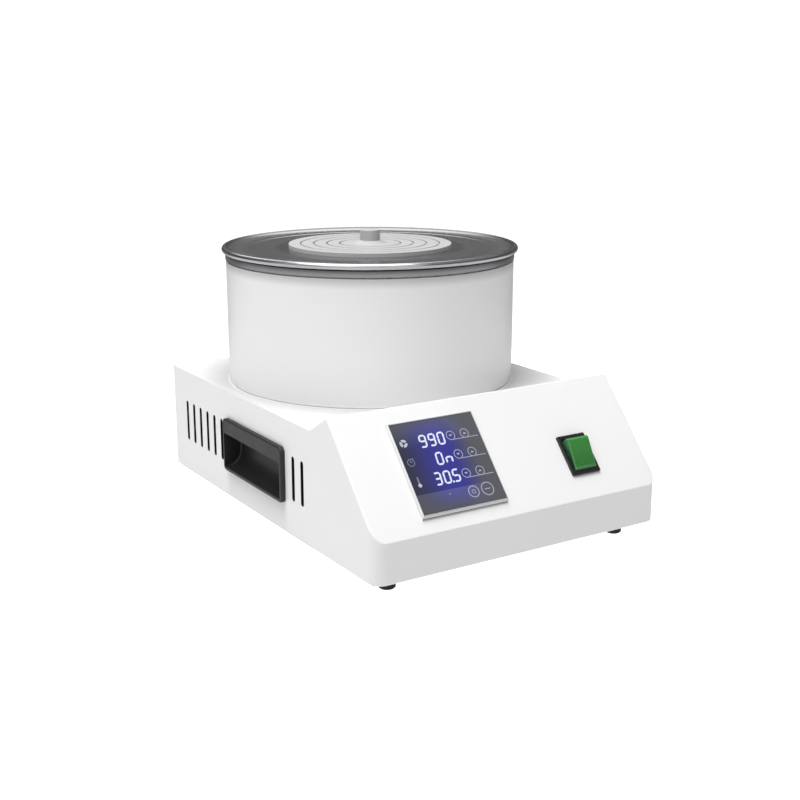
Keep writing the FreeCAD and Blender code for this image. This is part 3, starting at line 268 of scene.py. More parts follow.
SOFT_EDGE_DEGREES = 35
RING_STEPS = 32
DISC_STEPS = 20
SQUARE = ((-1, -1), (1, -1), (1, 1), (-1, 1))


def new_piece(name, shape, material, body):
    """Make an object of a bmesh, smooth its soft edges, and let it ride on its body."""
    mesh = bpy.data.meshes.new(name)
    bmesh.ops.recalc_face_normals(shape, faces=shape.faces)
    shape.to_mesh(mesh)
    shape.free()
    mesh.shade_smooth()
    mesh.set_sharp_from_angle(angle=math.radians(SOFT_EDGE_DEGREES))
    mesh.materials.append(material)
    piece = bpy.data.objects.new(name, mesh)
    bpy.context.scene.collection.objects.link(piece)
    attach(piece, body)


def dress(material, *names):
    """Give a carried-over node its finish."""
    for name in names:
        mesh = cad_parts[name].data
        mesh.materials.clear()
        mesh.materials.append(material)


def arc_points(centre, radius, start, end, steps=10):
    """Points on an arc, in millimetres; angles in degrees, anticlockwise from the right."""
    angles = [math.radians(start + (end - start) * index / steps) for index in range(steps + 1)]
    return [(centre[0] + radius * math.cos(angle), centre[1] + radius * math.sin(angle)) for angle in angles]


def ribbon(shape, points, width, thickness, closed=False):
    """A flat strip of constant width along points, raised by its thickness."""
    count = len(points)
    rows = []
    for index, (x, y) in enumerate(points):
        before = points[index - 1] if closed or index > 0 else points[index]
        after = points[(index + 1) % count] if closed or index < count - 1 else points[index]
        run = Vector((after[0] - before[0], after[1] - before[1])).normalized()
        side = Vector((-run.y, run.x)) * width / 2
        corners = [(x + side.x, y + side.y), (x - side.x, y - side.y)]
        rows.append([shape.verts.new((mm(cx), mm(cy), height)) for height in (0.0, mm(thickness))
                     for cx, cy in corners])
    last = count if closed else count - 1
    for index in range(last):
        one, two = rows[index], rows[(index + 1) % count]
        for a, b in ((0, 1), (1, 3), (3, 2), (2, 0)):
            shape.faces.new((one[a], one[b], two[b], two[a]))
    if not closed:
        for row in (rows[0], rows[-1]):
            shape.faces.new((row[0], row[1], row[3], row[2]))


def tile(shape, outline, thickness):
    """A flat tile with a convex outline, raised by its thickness."""
    low = [shape.verts.new((mm(x), mm(y), 0.0)) for x, y in outline]
    high = [shape.verts.new((mm(x), mm(y), mm(thickness))) for x, y in outline]
    shape.faces.new(high)
    shape.faces.new(low[::-1])
    count = len(outline)
    for index in range(count):
        after = (index + 1) % count
        shape.faces.new((low[index], low[after], high[after], high[index]))


def ring(shape, centre, radius, width, thickness):
    ribbon(shape, arc_points(centre, radius, 0, 360, RING_STEPS)[:-1], width, thickness, closed=True)


def disc(shape, centre, radius, thickness):
    tile(shape, arc_points(centre, radius, 0, 360, DISC_STEPS)[:-1], thickness)


def moved(place, offset):
    return (place[0] + offset[0], place[1] + offset[1])


# Finishes of the outside

DECK_SHADE_REACH = 45
DECK_SHADE = 0.42
DECK_CREASE_WIDTH = 2
GRIP_SHADE_REACH = 29
GRIP_SHADE = 0.3
GRIP_SHADE_FADE_OUTWARD = 4
GRIP_SHADE_FADE_INWARD = 6
SHADE_GREY = 0.25
CREASE_GREY = 0.8
DECK_SKIN = 0.5
SLOT_SHADE_GREY = 0.004
WALL_SKIN = 0.05
SLOTS_FROM_FRONT = 90
SLOTS_FROM_REAR = 8
SLOTS_BELOW = 80


def housing_finish(colour):
    """White shell: a fine even grain under a thin satin skin, with painted shade round the bath's foot, a
    painted shadow under each grip and painted shade inside the slotted walls.
    """
    finish = Finish("housing_white", coat_weight=0.15, coat_roughness=0.25)
    cloud = finish.noise(60, 3)
    white = finish.mix(cloud, colour, scaled(colour, 0.985))
    # Painted shade of the bath on the deck and painted shadow under the grips darken the white; the crease
    # is painted a plain pale grey.
    shade, crease = beside_bath(finish)
    shaded = finish.mix(shade * DECK_SHADE + under_grips(finish) * GRIP_SHADE, white, grey(SHADE_GREY))
    white = finish.mix(crease, shaded, grey(CREASE_GREY))
    # Painted shade: near-black behind the side walls' outer face, so the slots look dark inside.
    finish.set("Base Color", finish.mix(within_walls(finish), white, grey(SLOT_SHADE_GREY)))
    finish.vary_roughness(finish.noise(9, 2), 0.36, 0.44)
    finish.bump(finish.noise(0.7, 2), 0.012)
    return finish.material


def beside_bath(finish):
    """Painted shade of the bath on the deck round its foot, stopping short of the crease, and the crease
    itself, which is painted a plain pale grey.
    """
    low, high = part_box("bath_jacket")
    from_foot = around_axis(finish) - (high.x - low.x) / 2
    above_deck = finish.along(finish.offset(finish.place(), low), (0, 0, 1))
    on_deck = abs(above_deck) < mm(DECK_SKIN)
    open_deck = finish.smooth(from_foot, 0.0, mm(DECK_CREASE_WIDTH))
    near = 1 - finish.remap(from_foot, 0.0, mm(DECK_SHADE_REACH))
    return near * open_deck * on_deck, (1 - open_deck) * on_deck


def under_grips(finish):
    """Painted soft shadow that each grip throws down the side wall below it."""
    low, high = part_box("grip_left")
    along = finish.along(finish.place(), (0, 1, 0))
    height = finish.along(finish.place(), (0, 0, 1))
    below = finish.remap(height, low.z - mm(GRIP_SHADE_REACH), low.z)
    inward, outward = mm(GRIP_SHADE_FADE_INWARD), mm(GRIP_SHADE_FADE_OUTWARD)
    rear_end = finish.smooth(along, high.y - inward, high.y + outward)
    front_end = finish.smooth(along, low.y - outward, low.y + inward)
    return below * (front_end - rear_end) * (height < low.z + outward)


def within_walls(finish):
    """1 behind the outer face of the side walls, over the stretch that holds vents and grips."""
    low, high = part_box("housing_shell")
    place = finish.place()
    across = abs(finish.along(place, (1, 0, 0)))
    along = finish.along(place, (0, 1, 0))
    height = finish.along(place, (0, 0, 1))
    behind_face = across < high.x - mm(WALL_SKIN)
    stretch = (along > low.y + mm(SLOTS_FROM_FRONT)) * (along < high.y - mm(SLOTS_FROM_REAR))
    return behind_face * stretch * (height < mm(SLOTS_BELOW))


JACKET_RIM_SHADE = 0.5
JACKET_RIM_SHADE_REACH = 9
JACKET_FOOT_SHADE = 0.08
JACKET_FOOT_SHADE_REACH = 45
JACKET_SHADE_GREY = 0.3
JACKET_CREASE_LIGHT_GREY = 0.98
JACKET_CREASE_START = 0.2
JACKET_CREASE_END = 3
SEAM_HALF_WIDTH = 0.3
SEAM_SHOULDER = 1.4


def jacket_finish(colour):
    """Satin white paint on sheet, with its slight orange peel and the seam at the back, painted shade under
    the rim and toward the foot, and a painted paler crease at the foot.
    """
    finish = Finish("jacket_white", coat_weight=0.25, coat_roughness=0.2)
    white = finish.mix(finish.noise(80, 2), colour, scaled(colour, 0.99))
    # Painted shade under the rim and toward the foot, and painted light: the lowest millimetres go paler
    # than the white.
    shade = under_edge(finish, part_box("bath_jacket")[1].z, JACKET_RIM_SHADE_REACH)
    above_foot = finish.along(finish.offset(finish.place(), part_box("bath_jacket")[0]), (0, 0, 1))
    crease = 1 - finish.smooth(above_foot, mm(JACKET_CREASE_START), mm(JACKET_CREASE_END))
    low_shade = (1 - finish.smooth(above_foot, 0.0, mm(JACKET_FOOT_SHADE_REACH))) * (1 - crease)
    strength = shade * JACKET_RIM_SHADE + low_shade * JACKET_FOOT_SHADE
    shaded = finish.mix(strength, white, grey(JACKET_SHADE_GREY))
    finish.set("Base Color", finish.mix(crease, shaded, grey(JACKET_CREASE_LIGHT_GREY)))
    finish.vary_roughness(finish.noise(12, 2), 0.3, 0.38)
    across = abs(finish.along(finish.place(), (1, 0, 0)))
    behind = finish.along(finish.offset(finish.place(), BATH_AXIS), (0, 1, 0)) > 0.0
    seam = (1 - finish.smooth(across, mm(SEAM_HALF_WIDTH), mm(SEAM_SHOULDER))) * behind
    finish.bump(finish.noise(2.2, 2) * 0.3 + seam, 0.05)
    return finish.material


def under_edge(finish, edge_height, reach):
    """1 from edge_height (metres) up, falling to 0 over the reach (millimetres) below it."""
    height = finish.along(finish.place(), (0, 0, 1))
    return finish.smooth(height, edge_height - mm(reach), edge_height)


BEAD_CREST_RADIUS = 119.6
RINGS_RADIUS = 68.4
STEP_INNER_RADIUS = 99.5
STEP_OUTER_RADIUS = 104.5
STEP_HEIGHT = 0.9
LATHE_LINES = 0.007
BEAD_UNSHADED_HALF_WIDTH = 0.9
BEAD_SHADE_HALF_WIDTH = 1.7
RINGS_SHADE_START = 7
RINGS_SHADE_END = 15
POT_RIM_SHADE_REACH = 5
STEEL_SHADE_GREY = 0.04
ABOVE_EVERYTHING = 1.0


def spun_steel_finish(name, colour, roughness, shade_edge=ABOVE_EVERYTHING):
    """Stainless sheet spun on a lathe, with fine rings round the bath's axis and a shallow pressed step.

    It carries painted shade in a thin ring at the bead, round the rings and right under the height given as
    its last argument, in metres.
    """
    finish = Finish(name, metallic=1.0)
    radius = around_axis(finish)
    lane = finish.node("ShaderNodeCombineXYZ", None, {"X": radius, "Y": 0.0, "Z": 0.0})
    fine = finish.noise(0.5, 3, lane)
    broad = finish.noise(6, 2, lane)
    cloud = finish.noise(35, 3)
    dim = scaled(colour, 0.82)
    unshaded_steel = finish.mix(fine * 0.5 + cloud * 0.5, colour, dim)
    from_crest = abs(radius - mm(BEAD_CREST_RADIUS))
    bead_shade_line = 1 - finish.smooth(from_crest, mm(BEAD_UNSHADED_HALF_WIDTH), mm(BEAD_SHADE_HALF_WIDTH))
    from_rings = radius - mm(RINGS_RADIUS)
    round_rings = 1 - finish.smooth(from_rings, mm(RINGS_SHADE_START), mm(RINGS_SHADE_END))
    # Painted shade: darker in a thin ring at the bead, round the rings and under the rim top.
    steel_shade = under_edge(finish, shade_edge, POT_RIM_SHADE_REACH) * 0.8 + bead_shade_line * 0.7 + round_rings * 0.35
    finish.set("Base Color", finish.mix(steel_shade, unshaded_steel, grey(STEEL_SHADE_GREY)))
    finish.vary_roughness(fine * 0.5 + broad * 0.5, roughness - 0.05, roughness + 0.07)
    step = finish.smooth(radius, mm(STEP_INNER_RADIUS), mm(STEP_OUTER_RADIUS))
    finish.bump(fine * LATHE_LINES + step, STEP_HEIGHT)
    return finish.material


def ring_finish(colour):
    """Light grey moulded rings, faintly mottled."""
    finish = Finish("ring_grey", coat_weight=0.05)
    finish.set("Base Color", finish.mix(finish.noise(14, 3), colour, scaled(colour, 0.96)))
    finish.vary_roughness(finish.noise(3, 2), 0.4, 0.52)
    finish.bump(finish.noise(0.6, 2), 0.01)
    return finish.material


def grip_finish(colour):
    """Black cups with a fine spark-eroded texture and faint wear in patches."""
    finish = Finish("grip_black", specular_ior_level=0.45)
    grain = finish.noise(0.5, 3)
    worn = finish.noise(22, 3)
    finish.set("Base Color", finish.mix(worn, colour, scaled(colour, 1.25)))
    finish.vary_roughness(grain * 0.5 + worn * 0.5, 0.42, 0.58)
    finish.bump(grain, 0.03)
    return finish.material


DUST_GREY = 0.09


def rubber_finish(name, colour):
    """Plain rubber, dusty in patches."""
    finish = Finish(name)
    dust = finish.smooth(finish.noise(5, 4), 0.5, 0.75)
    finish.set("Base Color", finish.mix(dust * 0.4, colour, grey(DUST_GREY)))
    finish.set("Roughness", finish.remap(dust, 0, 1, 0.72, 0.9))
    finish.bump(finish.noise(0.4, 3), 0.04)
    return finish.material


def moulded_finish(name, colour, roughness=0.35):
    """Any small moulded plastic piece."""
    finish = Finish(name)
    cloud = finish.noise(6, 3)
    finish.set("Base Color", finish.mix(cloud, colour, lifted(colour, 1.18, 0.004)))
    finish.vary_roughness(finish.noise(1.5, 2), roughness - 0.05, roughness + 0.08)
    finish.bump(finish.noise(0.4, 2), 0.01)
    return finish.material


ROCKER_RIM = 9.6
ROCKER_LOW_RIM = 11.7
RIM_WIDTH = 0.5
ROCKER_FOOT_SHADE = (-12, 10)
ROCKER_SIDE_SHADE = (-6, 12)
FACE_TURN = (0.35, 0.8)


def rocker_finish(face, side, rim_highlight):
    """Green plastic with a painted highlight along its rims, painted shade toward its foot and dark painted
    shade down its sides, lighter upward.
    """
    finish = Finish("rocker_green", coat_weight=0.3, coat_roughness=0.2)
    centre = middle("switch_rocker")
    from_centre = finish.offset(finish.place(), centre)
    across = abs(finish.along(from_centre, PANEL_ACROSS))
    rise = finish.along(from_centre, PANEL_RISE)
    outward = finish.along(finish.facing(), PANEL_NORMAL)
    cloud = finish.noise(7, 2)
    # Painted shade toward the rocker's foot, a painted highlight along its rims and painted shade down its
    # sides.
    foot = 1 - finish.smooth(rise, *map(mm, ROCKER_FOOT_SHADE))
    inner = finish.mix(foot * 0.3 + cloud * 0.1, face, side)
    long_rims = finish.smooth(across, mm(ROCKER_RIM - RIM_WIDTH), mm(ROCKER_RIM))
    low_rim = finish.smooth(0 - rise, mm(ROCKER_LOW_RIM - RIM_WIDTH), mm(ROCKER_LOW_RIM))
    top = finish.mix((long_rims + low_rim) * 0.35, inner, rim_highlight)
    shaded_sides = finish.mix(finish.smooth(rise, *map(mm, ROCKER_SIDE_SHADE)), side, scaled(side, 2.6))
    finish.set("Base Color", finish.mix(finish.smooth(outward, *FACE_TURN), shaded_sides, top))
    finish.vary_roughness(cloud, 0.26, 0.36)
    finish.bump(finish.noise(1.2, 2), 0.004)
    return finish.material


TRIM_SLOPE = (0.3, 0.6)
TRIM_UNDERSIDE = (0.8, 0.95)
TRIM_SHADE_GREY = 0.08


def trim_finish(colour):
    """Satin anodised rim of the display, brushed across, with painted shade on its faces that look down the
    slope.
    """
    finish = Finish("display_trim", metallic=1.0)
    stretched = finish.stretched(finish.place(), (0.05, 1.0, 1.0))
    lines = finish.noise(0.25, 2, stretched)
    brushed = finish.mix(lines, colour, scaled(colour, 0.86))
    # Painted shade on the faces that look down the slope.
    down = 0 - finish.along(finish.facing(), PANEL_RISE)
    shaded = finish.smooth(down, *TRIM_SLOPE) * 0.35 + finish.smooth(down, *TRIM_UNDERSIDE) * 0.5
    finish.set("Base Color", finish.mix(shaded, brushed, grey(TRIM_SHADE_GREY)))
    finish.vary_roughness(lines, 0.26, 0.4)
    finish.bump(lines, 0.004)
    return finish.material


STRIP_TOP = -20.5
STRIP_EDGE = 0.4
REFLECTION_RIGHTWARD = (4, 30)
REFLECTION_UPWARD = (12, 36)
GLOW_REACH_LEFT = 40
GLOW_REACH_RIGHT = 28
GLOW_MIDDLE_RISE = 2
GLOW_FADE_UPRIGHT = (18, 42)


def glass_finish(dark, light, glow):
    """Tinted touch glass, lit blue from behind its figures, with a paler strip along its foot and a painted
    reflection that pales it to the right and upward.
    """
    finish = Finish("display_glass", coat_weight=0.3, coat_roughness=0.04, emission_strength=1.0)
    from_centre = finish.offset(finish.place(), GLASS_CENTRE)
    across = finish.along(from_centre, PANEL_ACROSS)
    rise = finish.along(from_centre, PANEL_RISE)
    strip = 1 - finish.smooth(rise, mm(STRIP_TOP - STRIP_EDGE), mm(STRIP_TOP))
    # Painted reflection: the glass grows paler to the right and upward.
    upward = finish.smooth(rise, *map(mm, REFLECTION_UPWARD))
    paler = finish.smooth(across, *map(mm, REFLECTION_RIGHTWARD)) + upward * 0.8
    ground = finish.mix(paler + strip * 0.8, dark, light)
    cloud = finish.noise(18, 3)
    finish.set("Base Color", finish.mix(cloud * 0.15, ground, grey(0.0)))
    leftward = 1 - finish.smooth(0 - across, 0.0, mm(GLOW_REACH_LEFT))
    rightward = 1 - finish.smooth(across, 0.0, mm(GLOW_REACH_RIGHT))
    upright = 1 - finish.smooth(abs(rise - mm(GLOW_MIDDLE_RISE)), *map(mm, GLOW_FADE_UPRIGHT))
    finish.set("Emission Color", finish.mix(leftward * rightward * upright, grey(0.0), glow))
    finish.vary_roughness(cloud, 0.1, 0.16)
    return finish.material


def print_finish(name, colour):
    """Lit figures and printed marks on the glass, slightly uneven."""
    finish = Finish(name, roughness=0.4, base_color=grey(0.05), emission_strength=1.0)
    shade = finish.mix(finish.noise(1.5, 2), colour, scaled(colour, 0.88))
    finish.set("Emission Color", shade)
    return finish.material


# Finishes of the inside and the underside

SPANGLE_SIZE = 9


def sheet_steel_finish(name, colour, roughness=0.35):
    """Zinc-plated or machined steel with faint spangles and wipe marks."""
    finish = Finish(name, metallic=1.0)
    cells = {"Vector": finish.place(), "Scale": 1 / mm(SPANGLE_SIZE)}
    spangle = finish.node("ShaderNodeTexVoronoi", None, cells, "Color")
    grain = finish.along(spangle, grey(0.33))
    marks = finish.noise(3, 3, finish.stretched(finish.place(), (0.15, 1, 1)))
    dim = scaled(colour, 0.78)
    finish.set("Base Color", finish.mix(grain * 0.6 + marks * 0.4, colour, dim))
    finish.vary_roughness(marks, roughness - 0.06, roughness + 0.08)
    finish.bump(marks, 0.006)
    return finish.material


def wool_finish(colour):
    """Fibrous insulation."""
    finish = Finish("insulation_wool", roughness=0.95, sheen_weight=0.3)
    fibres = finish.noise(0.8, 4, finish.stretched(finish.place(), (1, 1, 0.2)))
    finish.set("Base Color", finish.mix(fibres, scaled(colour, 0.75), colour))
    finish.bump(fibres, 0.3)
    return finish.material


TRACK_PITCH = 2.54
CORE_SHEET = 1.0


def board_finish(colour):
    """Solder-masked circuit board with the paler lines of its tracks."""
    finish = Finish("board_green", roughness=0.35, coat_weight=0.2)
    across = finish.along(finish.place(), (1, 0, 0))
    wave = finish.wave(across, TRACK_PITCH)
    tracks = finish.smooth(wave + finish.noise(6, 2) * 1.2, 0.9, 1.1)
    finish.set("Base Color", finish.mix(tracks * 0.5, colour, lifted(colour, 1.9, 0.02)))
    finish.bump(tracks, 0.03)
    return finish.material


def laminated_finish(colour):
    """Edge-on core sheets under varnish."""
    finish = Finish("core_iron", metallic=0.6, roughness=0.5)
    depth = finish.along(finish.place(), (0, 1, 0))
    wave = finish.wave(depth, CORE_SHEET)
    between_sheets = finish.remap(wave, -1, 1)
    finish.set("Base Color", finish.mix(between_sheets, colour, scaled(colour, 0.6)))
    finish.bump(wave, 0.05)
    return finish.material


# Settings shown in the sidebar


def colour_setting(name, description, default):
    return bpy.props.FloatVectorProperty(name=name, description=description, default=default,
                                         subtype="COLOR", size=3, min=0.0, max=1.0)


def length_setting(name, description, default):
    return bpy.props.FloatProperty(name=name, description=description, default=mm(default),
                                   unit="LENGTH", min=0.0)


class BATH_PG_colours(bpy.types.PropertyGroup):
    housing: colour_setting("Housing", "White of the moulded shell", (0.9, 0.9, 0.9))
    jacket: colour_setting("Jacket", "White of the bath's outer wall", (0.9, 0.9, 0.9))
    steel: colour_setting("Steel", "Spun stainless steel of the lid and pot", (0.5, 0.505, 0.52))
    rings: colour_setting("Rings", "Light grey of the reducing rings", (0.47, 0.47, 0.47))
    grips: colour_setting("Grips", "Black of the grip cups", (0.011, 0.011, 0.011))
    rocker: colour_setting("Rocker", "Green of the power rocker's face", (0.045, 0.25, 0.045))
    # Painted shade: the colour of the rocker's sides in shade.
    rocker_shaded_side: colour_setting("Rocker side", "Deep green of the rocker's sides", (0.006, 0.05, 0.014))
    # Painted highlight along the rocker's rims.
    rocker_rim_highlight: colour_setting("Rocker edge", "Pale green of the rocker's edges", (0.13, 0.4, 0.13))
    trim: colour_setting("Display rim", "Anodised rim of the display", (0.78, 0.78, 0.79))
    glass_dark: colour_setting("Glass, dark", "Glass round the figures", (0.03, 0.032, 0.042))
    # Paler glass of the painted reflection at the right and the top, and of the strip along the foot.
    glass_reflection_and_strip: colour_setting("Glass, light", "Glass at the right and the top", (0.1, 0.104, 0.116))
    glow: colour_setting("Backlight", "Blue behind the figures", (0.006, 0.004, 0.26))
    figures: colour_setting("Figures", "Lit figures of the display", (0.78, 0.83, 1.0))
    bright_marks: colour_setting("Bright marks", "Arrows and signs of the display", (0.5, 0.51, 0.62))
    marks: colour_setting("Marks", "Printed keys and lines of the display", (0.34, 0.35, 0.48))
    faint_marks: colour_setting("Faint marks", "Signs that are switched off", (0.15, 0.15, 0.26))


class BATH_PG_print(bpy.types.PropertyGroup):
    thickness: length_setting("Print thickness", "How far figures and marks stand on the glass", 0.06)
    figure_width: length_setting("Figure width", "Width of one figure", 6.2)
    figure_height: length_setting("Figure height", "Height of one figure", 10.4)
    figure_stroke: length_setting("Figure stroke", "Width of a figure's lit bars", 1.35)
    key_radius: length_setting("Key radius", "Radius of the small printed keys", 3.5)
    key_stroke: length_setting("Key stroke", "Width of the printed lines", 0.6)


class BATH_PG_studio(bpy.types.PropertyGroup):
    camera_place: bpy.props.FloatVectorProperty(
        name="Camera place", description="Where the camera stands", subtype="TRANSLATION", unit="LENGTH",
        default=(mm(-543.0), mm(-860.15), mm(350.84)))
    camera_aim: bpy.props.FloatVectorProperty(
        name="Camera aim", description="The point that the camera looks at", subtype="TRANSLATION",
        unit="LENGTH", default=(mm(-10.91), mm(-18.44), mm(95.72)))
    lens: bpy.props.FloatProperty(name="Lens", description="Focal length in millimetres", default=56.43,
                                  min=1.0)
    room_low: bpy.props.FloatProperty(name="Room light, low", description="Brightness near the floor",
                                      default=0.12, min=0.0)
    room_high: bpy.props.FloatProperty(name="Room light, high", description="Brightness overhead",
                                       default=0.31, min=0.0)
    floor_glow: bpy.props.FloatProperty(name="Floor light", description="Own light of the white floor",
                                        default=0.66, min=0.0)


# The display's figures and marks

SEGMENTS_OF = {"0": "abcdef", "3": "abcdg", "5": "acdfg", "9": "abcdfg", "n": "ceg"}
FIGURE_PITCH = 7.9
FIGURE_SLANT = 0.09
FIGURE_GAP = 0.12
CORNER_RADIUS = 1.6
LAST_FIGURE = 2.3
ROWS = ((19.6, "990"), (4.2, "0n"), (-10.9, "305"))
POINT_AFTER_LAST = (-1.7, -15.3)
POINT_SIDE = 1.4
KEY_COLUMNS = (11.1, 23.4)
KEY_ROWS = (20.4, 4.9, -10.7)
LINE_DROP = 3.5
LINE_SPAN = (12.9, 34.2)
ICON_COLUMN = -29.8
LOWER_KEYS = ((11.1, -25.7, 4.3), (23.3, -25.6, 5.0))
STATUS_DOT = (-9.0, -23.9, 0.8)
ARROW_REACH = 1.4
ARROW_HALF_HEIGHT = 0.65
BLADE_RADIUS = 2.15
BLADE_WIDTH = 2.0
FIRST_BLADE = 20
BLADE_SWEEP = 100
CLOCK_RADIUS = 2.8
LONG_HAND = (0.0, 1.8)
SHORT_HAND = (1.3, 0.6)
CLOCK_STROKE = ((1.9, 3.3), (2.9, 2.5))
POWER_SIGN_RADIUS = 1.5
POWER_SIGN_ARC = (125, 415)
POWER_SIGN_BAR = (0.35, 1.25)
MINUS_REACH = 2.4
BULB_DROP = 2.6
BULB_RADIUS = 1.5
STEM_SPAN = (4.0, -1.2)
STEM_WIDTH = 1.3
DRAWING_ORIGIN = (-0.15, -0.4)


def segment_lines(half_width, half_height, radius):
    """Centre lines of the seven bars, with half a round corner on each bar that meets one."""
    x, y, r = half_width, half_height, radius
    top_left = arc_points((r - x, y - r), r, 135, 90, 4)
    top_right = arc_points((x - r, y - r), r, 90, 45, 4)
    right_top = arc_points((x - r, y - r), r, 45, 0, 4)
    left_top = arc_points((r - x, y - r), r, 180, 135, 4)[::-1]
    return {"a": top_left + top_right,
            "b": right_top + [(x, 0)],
            "c": [(x, 0)] + [(px, -py) for px, py in right_top[::-1]],
            "d": [(px, -py) for px, py in top_left + top_right],
            "e": [(-x, 0)] + [(px, -py) for px, py in left_top[::-1]],
            "f": left_top + [(-x, 0)],
            "g": [(-x, 0), (x, 0)]}


def shortened(points, trim):
    """Pull both ends of a line in by trim."""
    def pulled(end, inner):
        run = Vector((inner[0] - end[0], inner[1] - end[1]))
        return (end[0] + run.normalized().x * trim, end[1] + run.normalized().y * trim)
    return [pulled(points[0], points[1])] + list(points[1:-1]) + [pulled(points[-1], points[-2])]


def figure(shape, letter, centre, sizes):
    """One seven-bar figure, leaning slightly to the right."""
    width, height, stroke, thickness = sizes
    lines = segment_lines((width - stroke) / 2, (height - stroke) / 2, CORNER_RADIUS)
    for bar in SEGMENTS_OF[letter]:
        points = shortened(lines[bar], FIGURE_GAP if bar != "g" else stroke * 0.5)
        leaning = [(centre[0] + x + FIGURE_SLANT * y, centre[1] + y) for x, y in points]
        ribbon(shape, leaning, stroke, thickness)


def figures_shape(sizes):
    """The three rows of figures and the decimal point."""
    *_, thickness = sizes
    shape = bmesh.new()
    for rise, letters in ROWS:
        for place, letter in enumerate(reversed(letters)):
            figure(shape, letter, (LAST_FIGURE - place * FIGURE_PITCH, rise), sizes)
    half = POINT_SIDE / 2
    tile(shape, [moved(POINT_AFTER_LAST, (x * half, y * half)) for x, y in SQUARE], thickness)
    return shape


def arrow(shape, centre, upward, thickness):
    """A small filled arrow head."""
    reach, rise = ARROW_REACH, ARROW_HALF_HEIGHT * upward
    outline = [moved(centre, corner) for corner in ((-reach, -rise), (reach, -rise), (0, rise))]
    tile(shape, outline if upward > 0 else outline[::-1], thickness)


def stir_icon(shape, centre, thickness):
    """Three thick blades round a dark middle."""
    for turn in range(3):
        start = FIRST_BLADE + 120 * turn
        ribbon(shape, arc_points(centre, BLADE_RADIUS, start, start + BLADE_SWEEP), BLADE_WIDTH, thickness)


def clock_icon(shape, centre, stroke, thickness):
    """A clock face with two hands and a short stroke at its upper right."""
    ring(shape, centre, CLOCK_RADIUS, stroke, thickness)
    ribbon(shape, [moved(centre, LONG_HAND), centre], stroke, thickness)
    ribbon(shape, [centre, moved(centre, SHORT_HAND)], stroke, thickness)
    ribbon(shape, [moved(centre, end) for end in CLOCK_STROKE], stroke, thickness)


def power_icon(shape, centre, radius, stroke, thickness):
    """A ring open at the top, with an upright bar in the gap."""
    ribbon(shape, arc_points(centre, radius, *POWER_SIGN_ARC, 20), stroke, thickness)
    ribbon(shape, [moved(centre, (0, radius * part)) for part in POWER_SIGN_BAR], stroke, thickness)


def keys_shape(key_radius, stroke, thickness):
    """Printed rings of the keys, the lines under the rows and the signs on the two lower keys."""
    shape = bmesh.new()
    for rise in KEY_ROWS:
        for column in KEY_COLUMNS:
            ring(shape, (column, rise), key_radius, stroke, thickness)
        start, end = LINE_SPAN
        ribbon(shape, [(start, rise - LINE_DROP), (end, rise - LINE_DROP)], stroke, thickness * 0.7)
    for column, rise, radius in LOWER_KEYS:
        ring(shape, (column, rise), radius, stroke * 1.3, thickness)
    left, right = LOWER_KEYS
    power_icon(shape, left[:2], POWER_SIGN_RADIUS, stroke * 0.9, thickness)
    minus = [moved(right, (end, 0)) for end in (-MINUS_REACH, MINUS_REACH)]
    ribbon(shape, minus, stroke * 1.2, thickness)
    return shape


def bright_marks_shape(thickness):
    """Arrows of the small keys, the stirring sign and the bulb of the thermometer."""
    shape = bmesh.new()
    for rise in KEY_ROWS:
        for column, upward in zip(KEY_COLUMNS, (-1, 1)):
            arrow(shape, (column, rise), upward, thickness)
    stir_icon(shape, (ICON_COLUMN, KEY_ROWS[0]), thickness)
    disc(shape, (ICON_COLUMN, KEY_ROWS[2] - BULB_DROP), BULB_RADIUS, thickness)
    return shape


def faint_marks_shape(stroke, thickness):
    """Clock, stem of the thermometer and the status dot."""
    shape = bmesh.new()
    clock_icon(shape, (ICON_COLUMN, KEY_ROWS[1]), stroke, thickness)
    ribbon(shape, [(ICON_COLUMN, KEY_ROWS[2] + end) for end in STEM_SPAN], STEM_WIDTH, thickness)
    x, y, radius = STATUS_DOT
    disc(shape, (x, y), radius, thickness)
    return shape


# Floor, surroundings, lights and camera

FLOOR_PEAK = 2.0
SEEN_FLOOR_BOOST = 0.9
SEEN_ROOM = 1.05
FLOOR_REACH = 30.0
BEHIND_THE_BATH = (0.535, 0.845, 0.0)
FLOOR_FADE = (0.35, 0.8)
FLOOR_FADE_SHARE = 0.9
ROOM_TURN = (22, 30)


def make_floor(own_light):
    """A wide white floor at the feet, which partly lights itself, less so far behind the bath."""
    mesh = bpy.data.meshes.new("floor")
    corners = [(x * FLOOR_REACH, y * FLOOR_REACH, 0) for x, y in SQUARE]
    mesh.from_pydata(corners, [], [(0, 1, 2, 3)])
    floor = bpy.data.objects.new("floor", mesh)
    bpy.context.scene.collection.objects.link(floor)
    finish = Finish("floor_white", roughness=0.9, specular_ior_level=0.0, emission_strength=FLOOR_PEAK)
    finish.set("Base Color", grey(0.3))
    seen = finish.node("ShaderNodeLightPath", output="Is Camera Ray")
    behind = finish.smooth(finish.along(finish.place(), BEHIND_THE_BATH), *FLOOR_FADE)
    level = (1 - behind * FLOOR_FADE_SHARE) * own_light + seen * SEEN_FLOOR_BOOST
    finish.set("Emission Color", finish.mix(level * (1 / FLOOR_PEAK), grey(0.0), grey(1.0)))
    mesh.materials.append(finish.material)


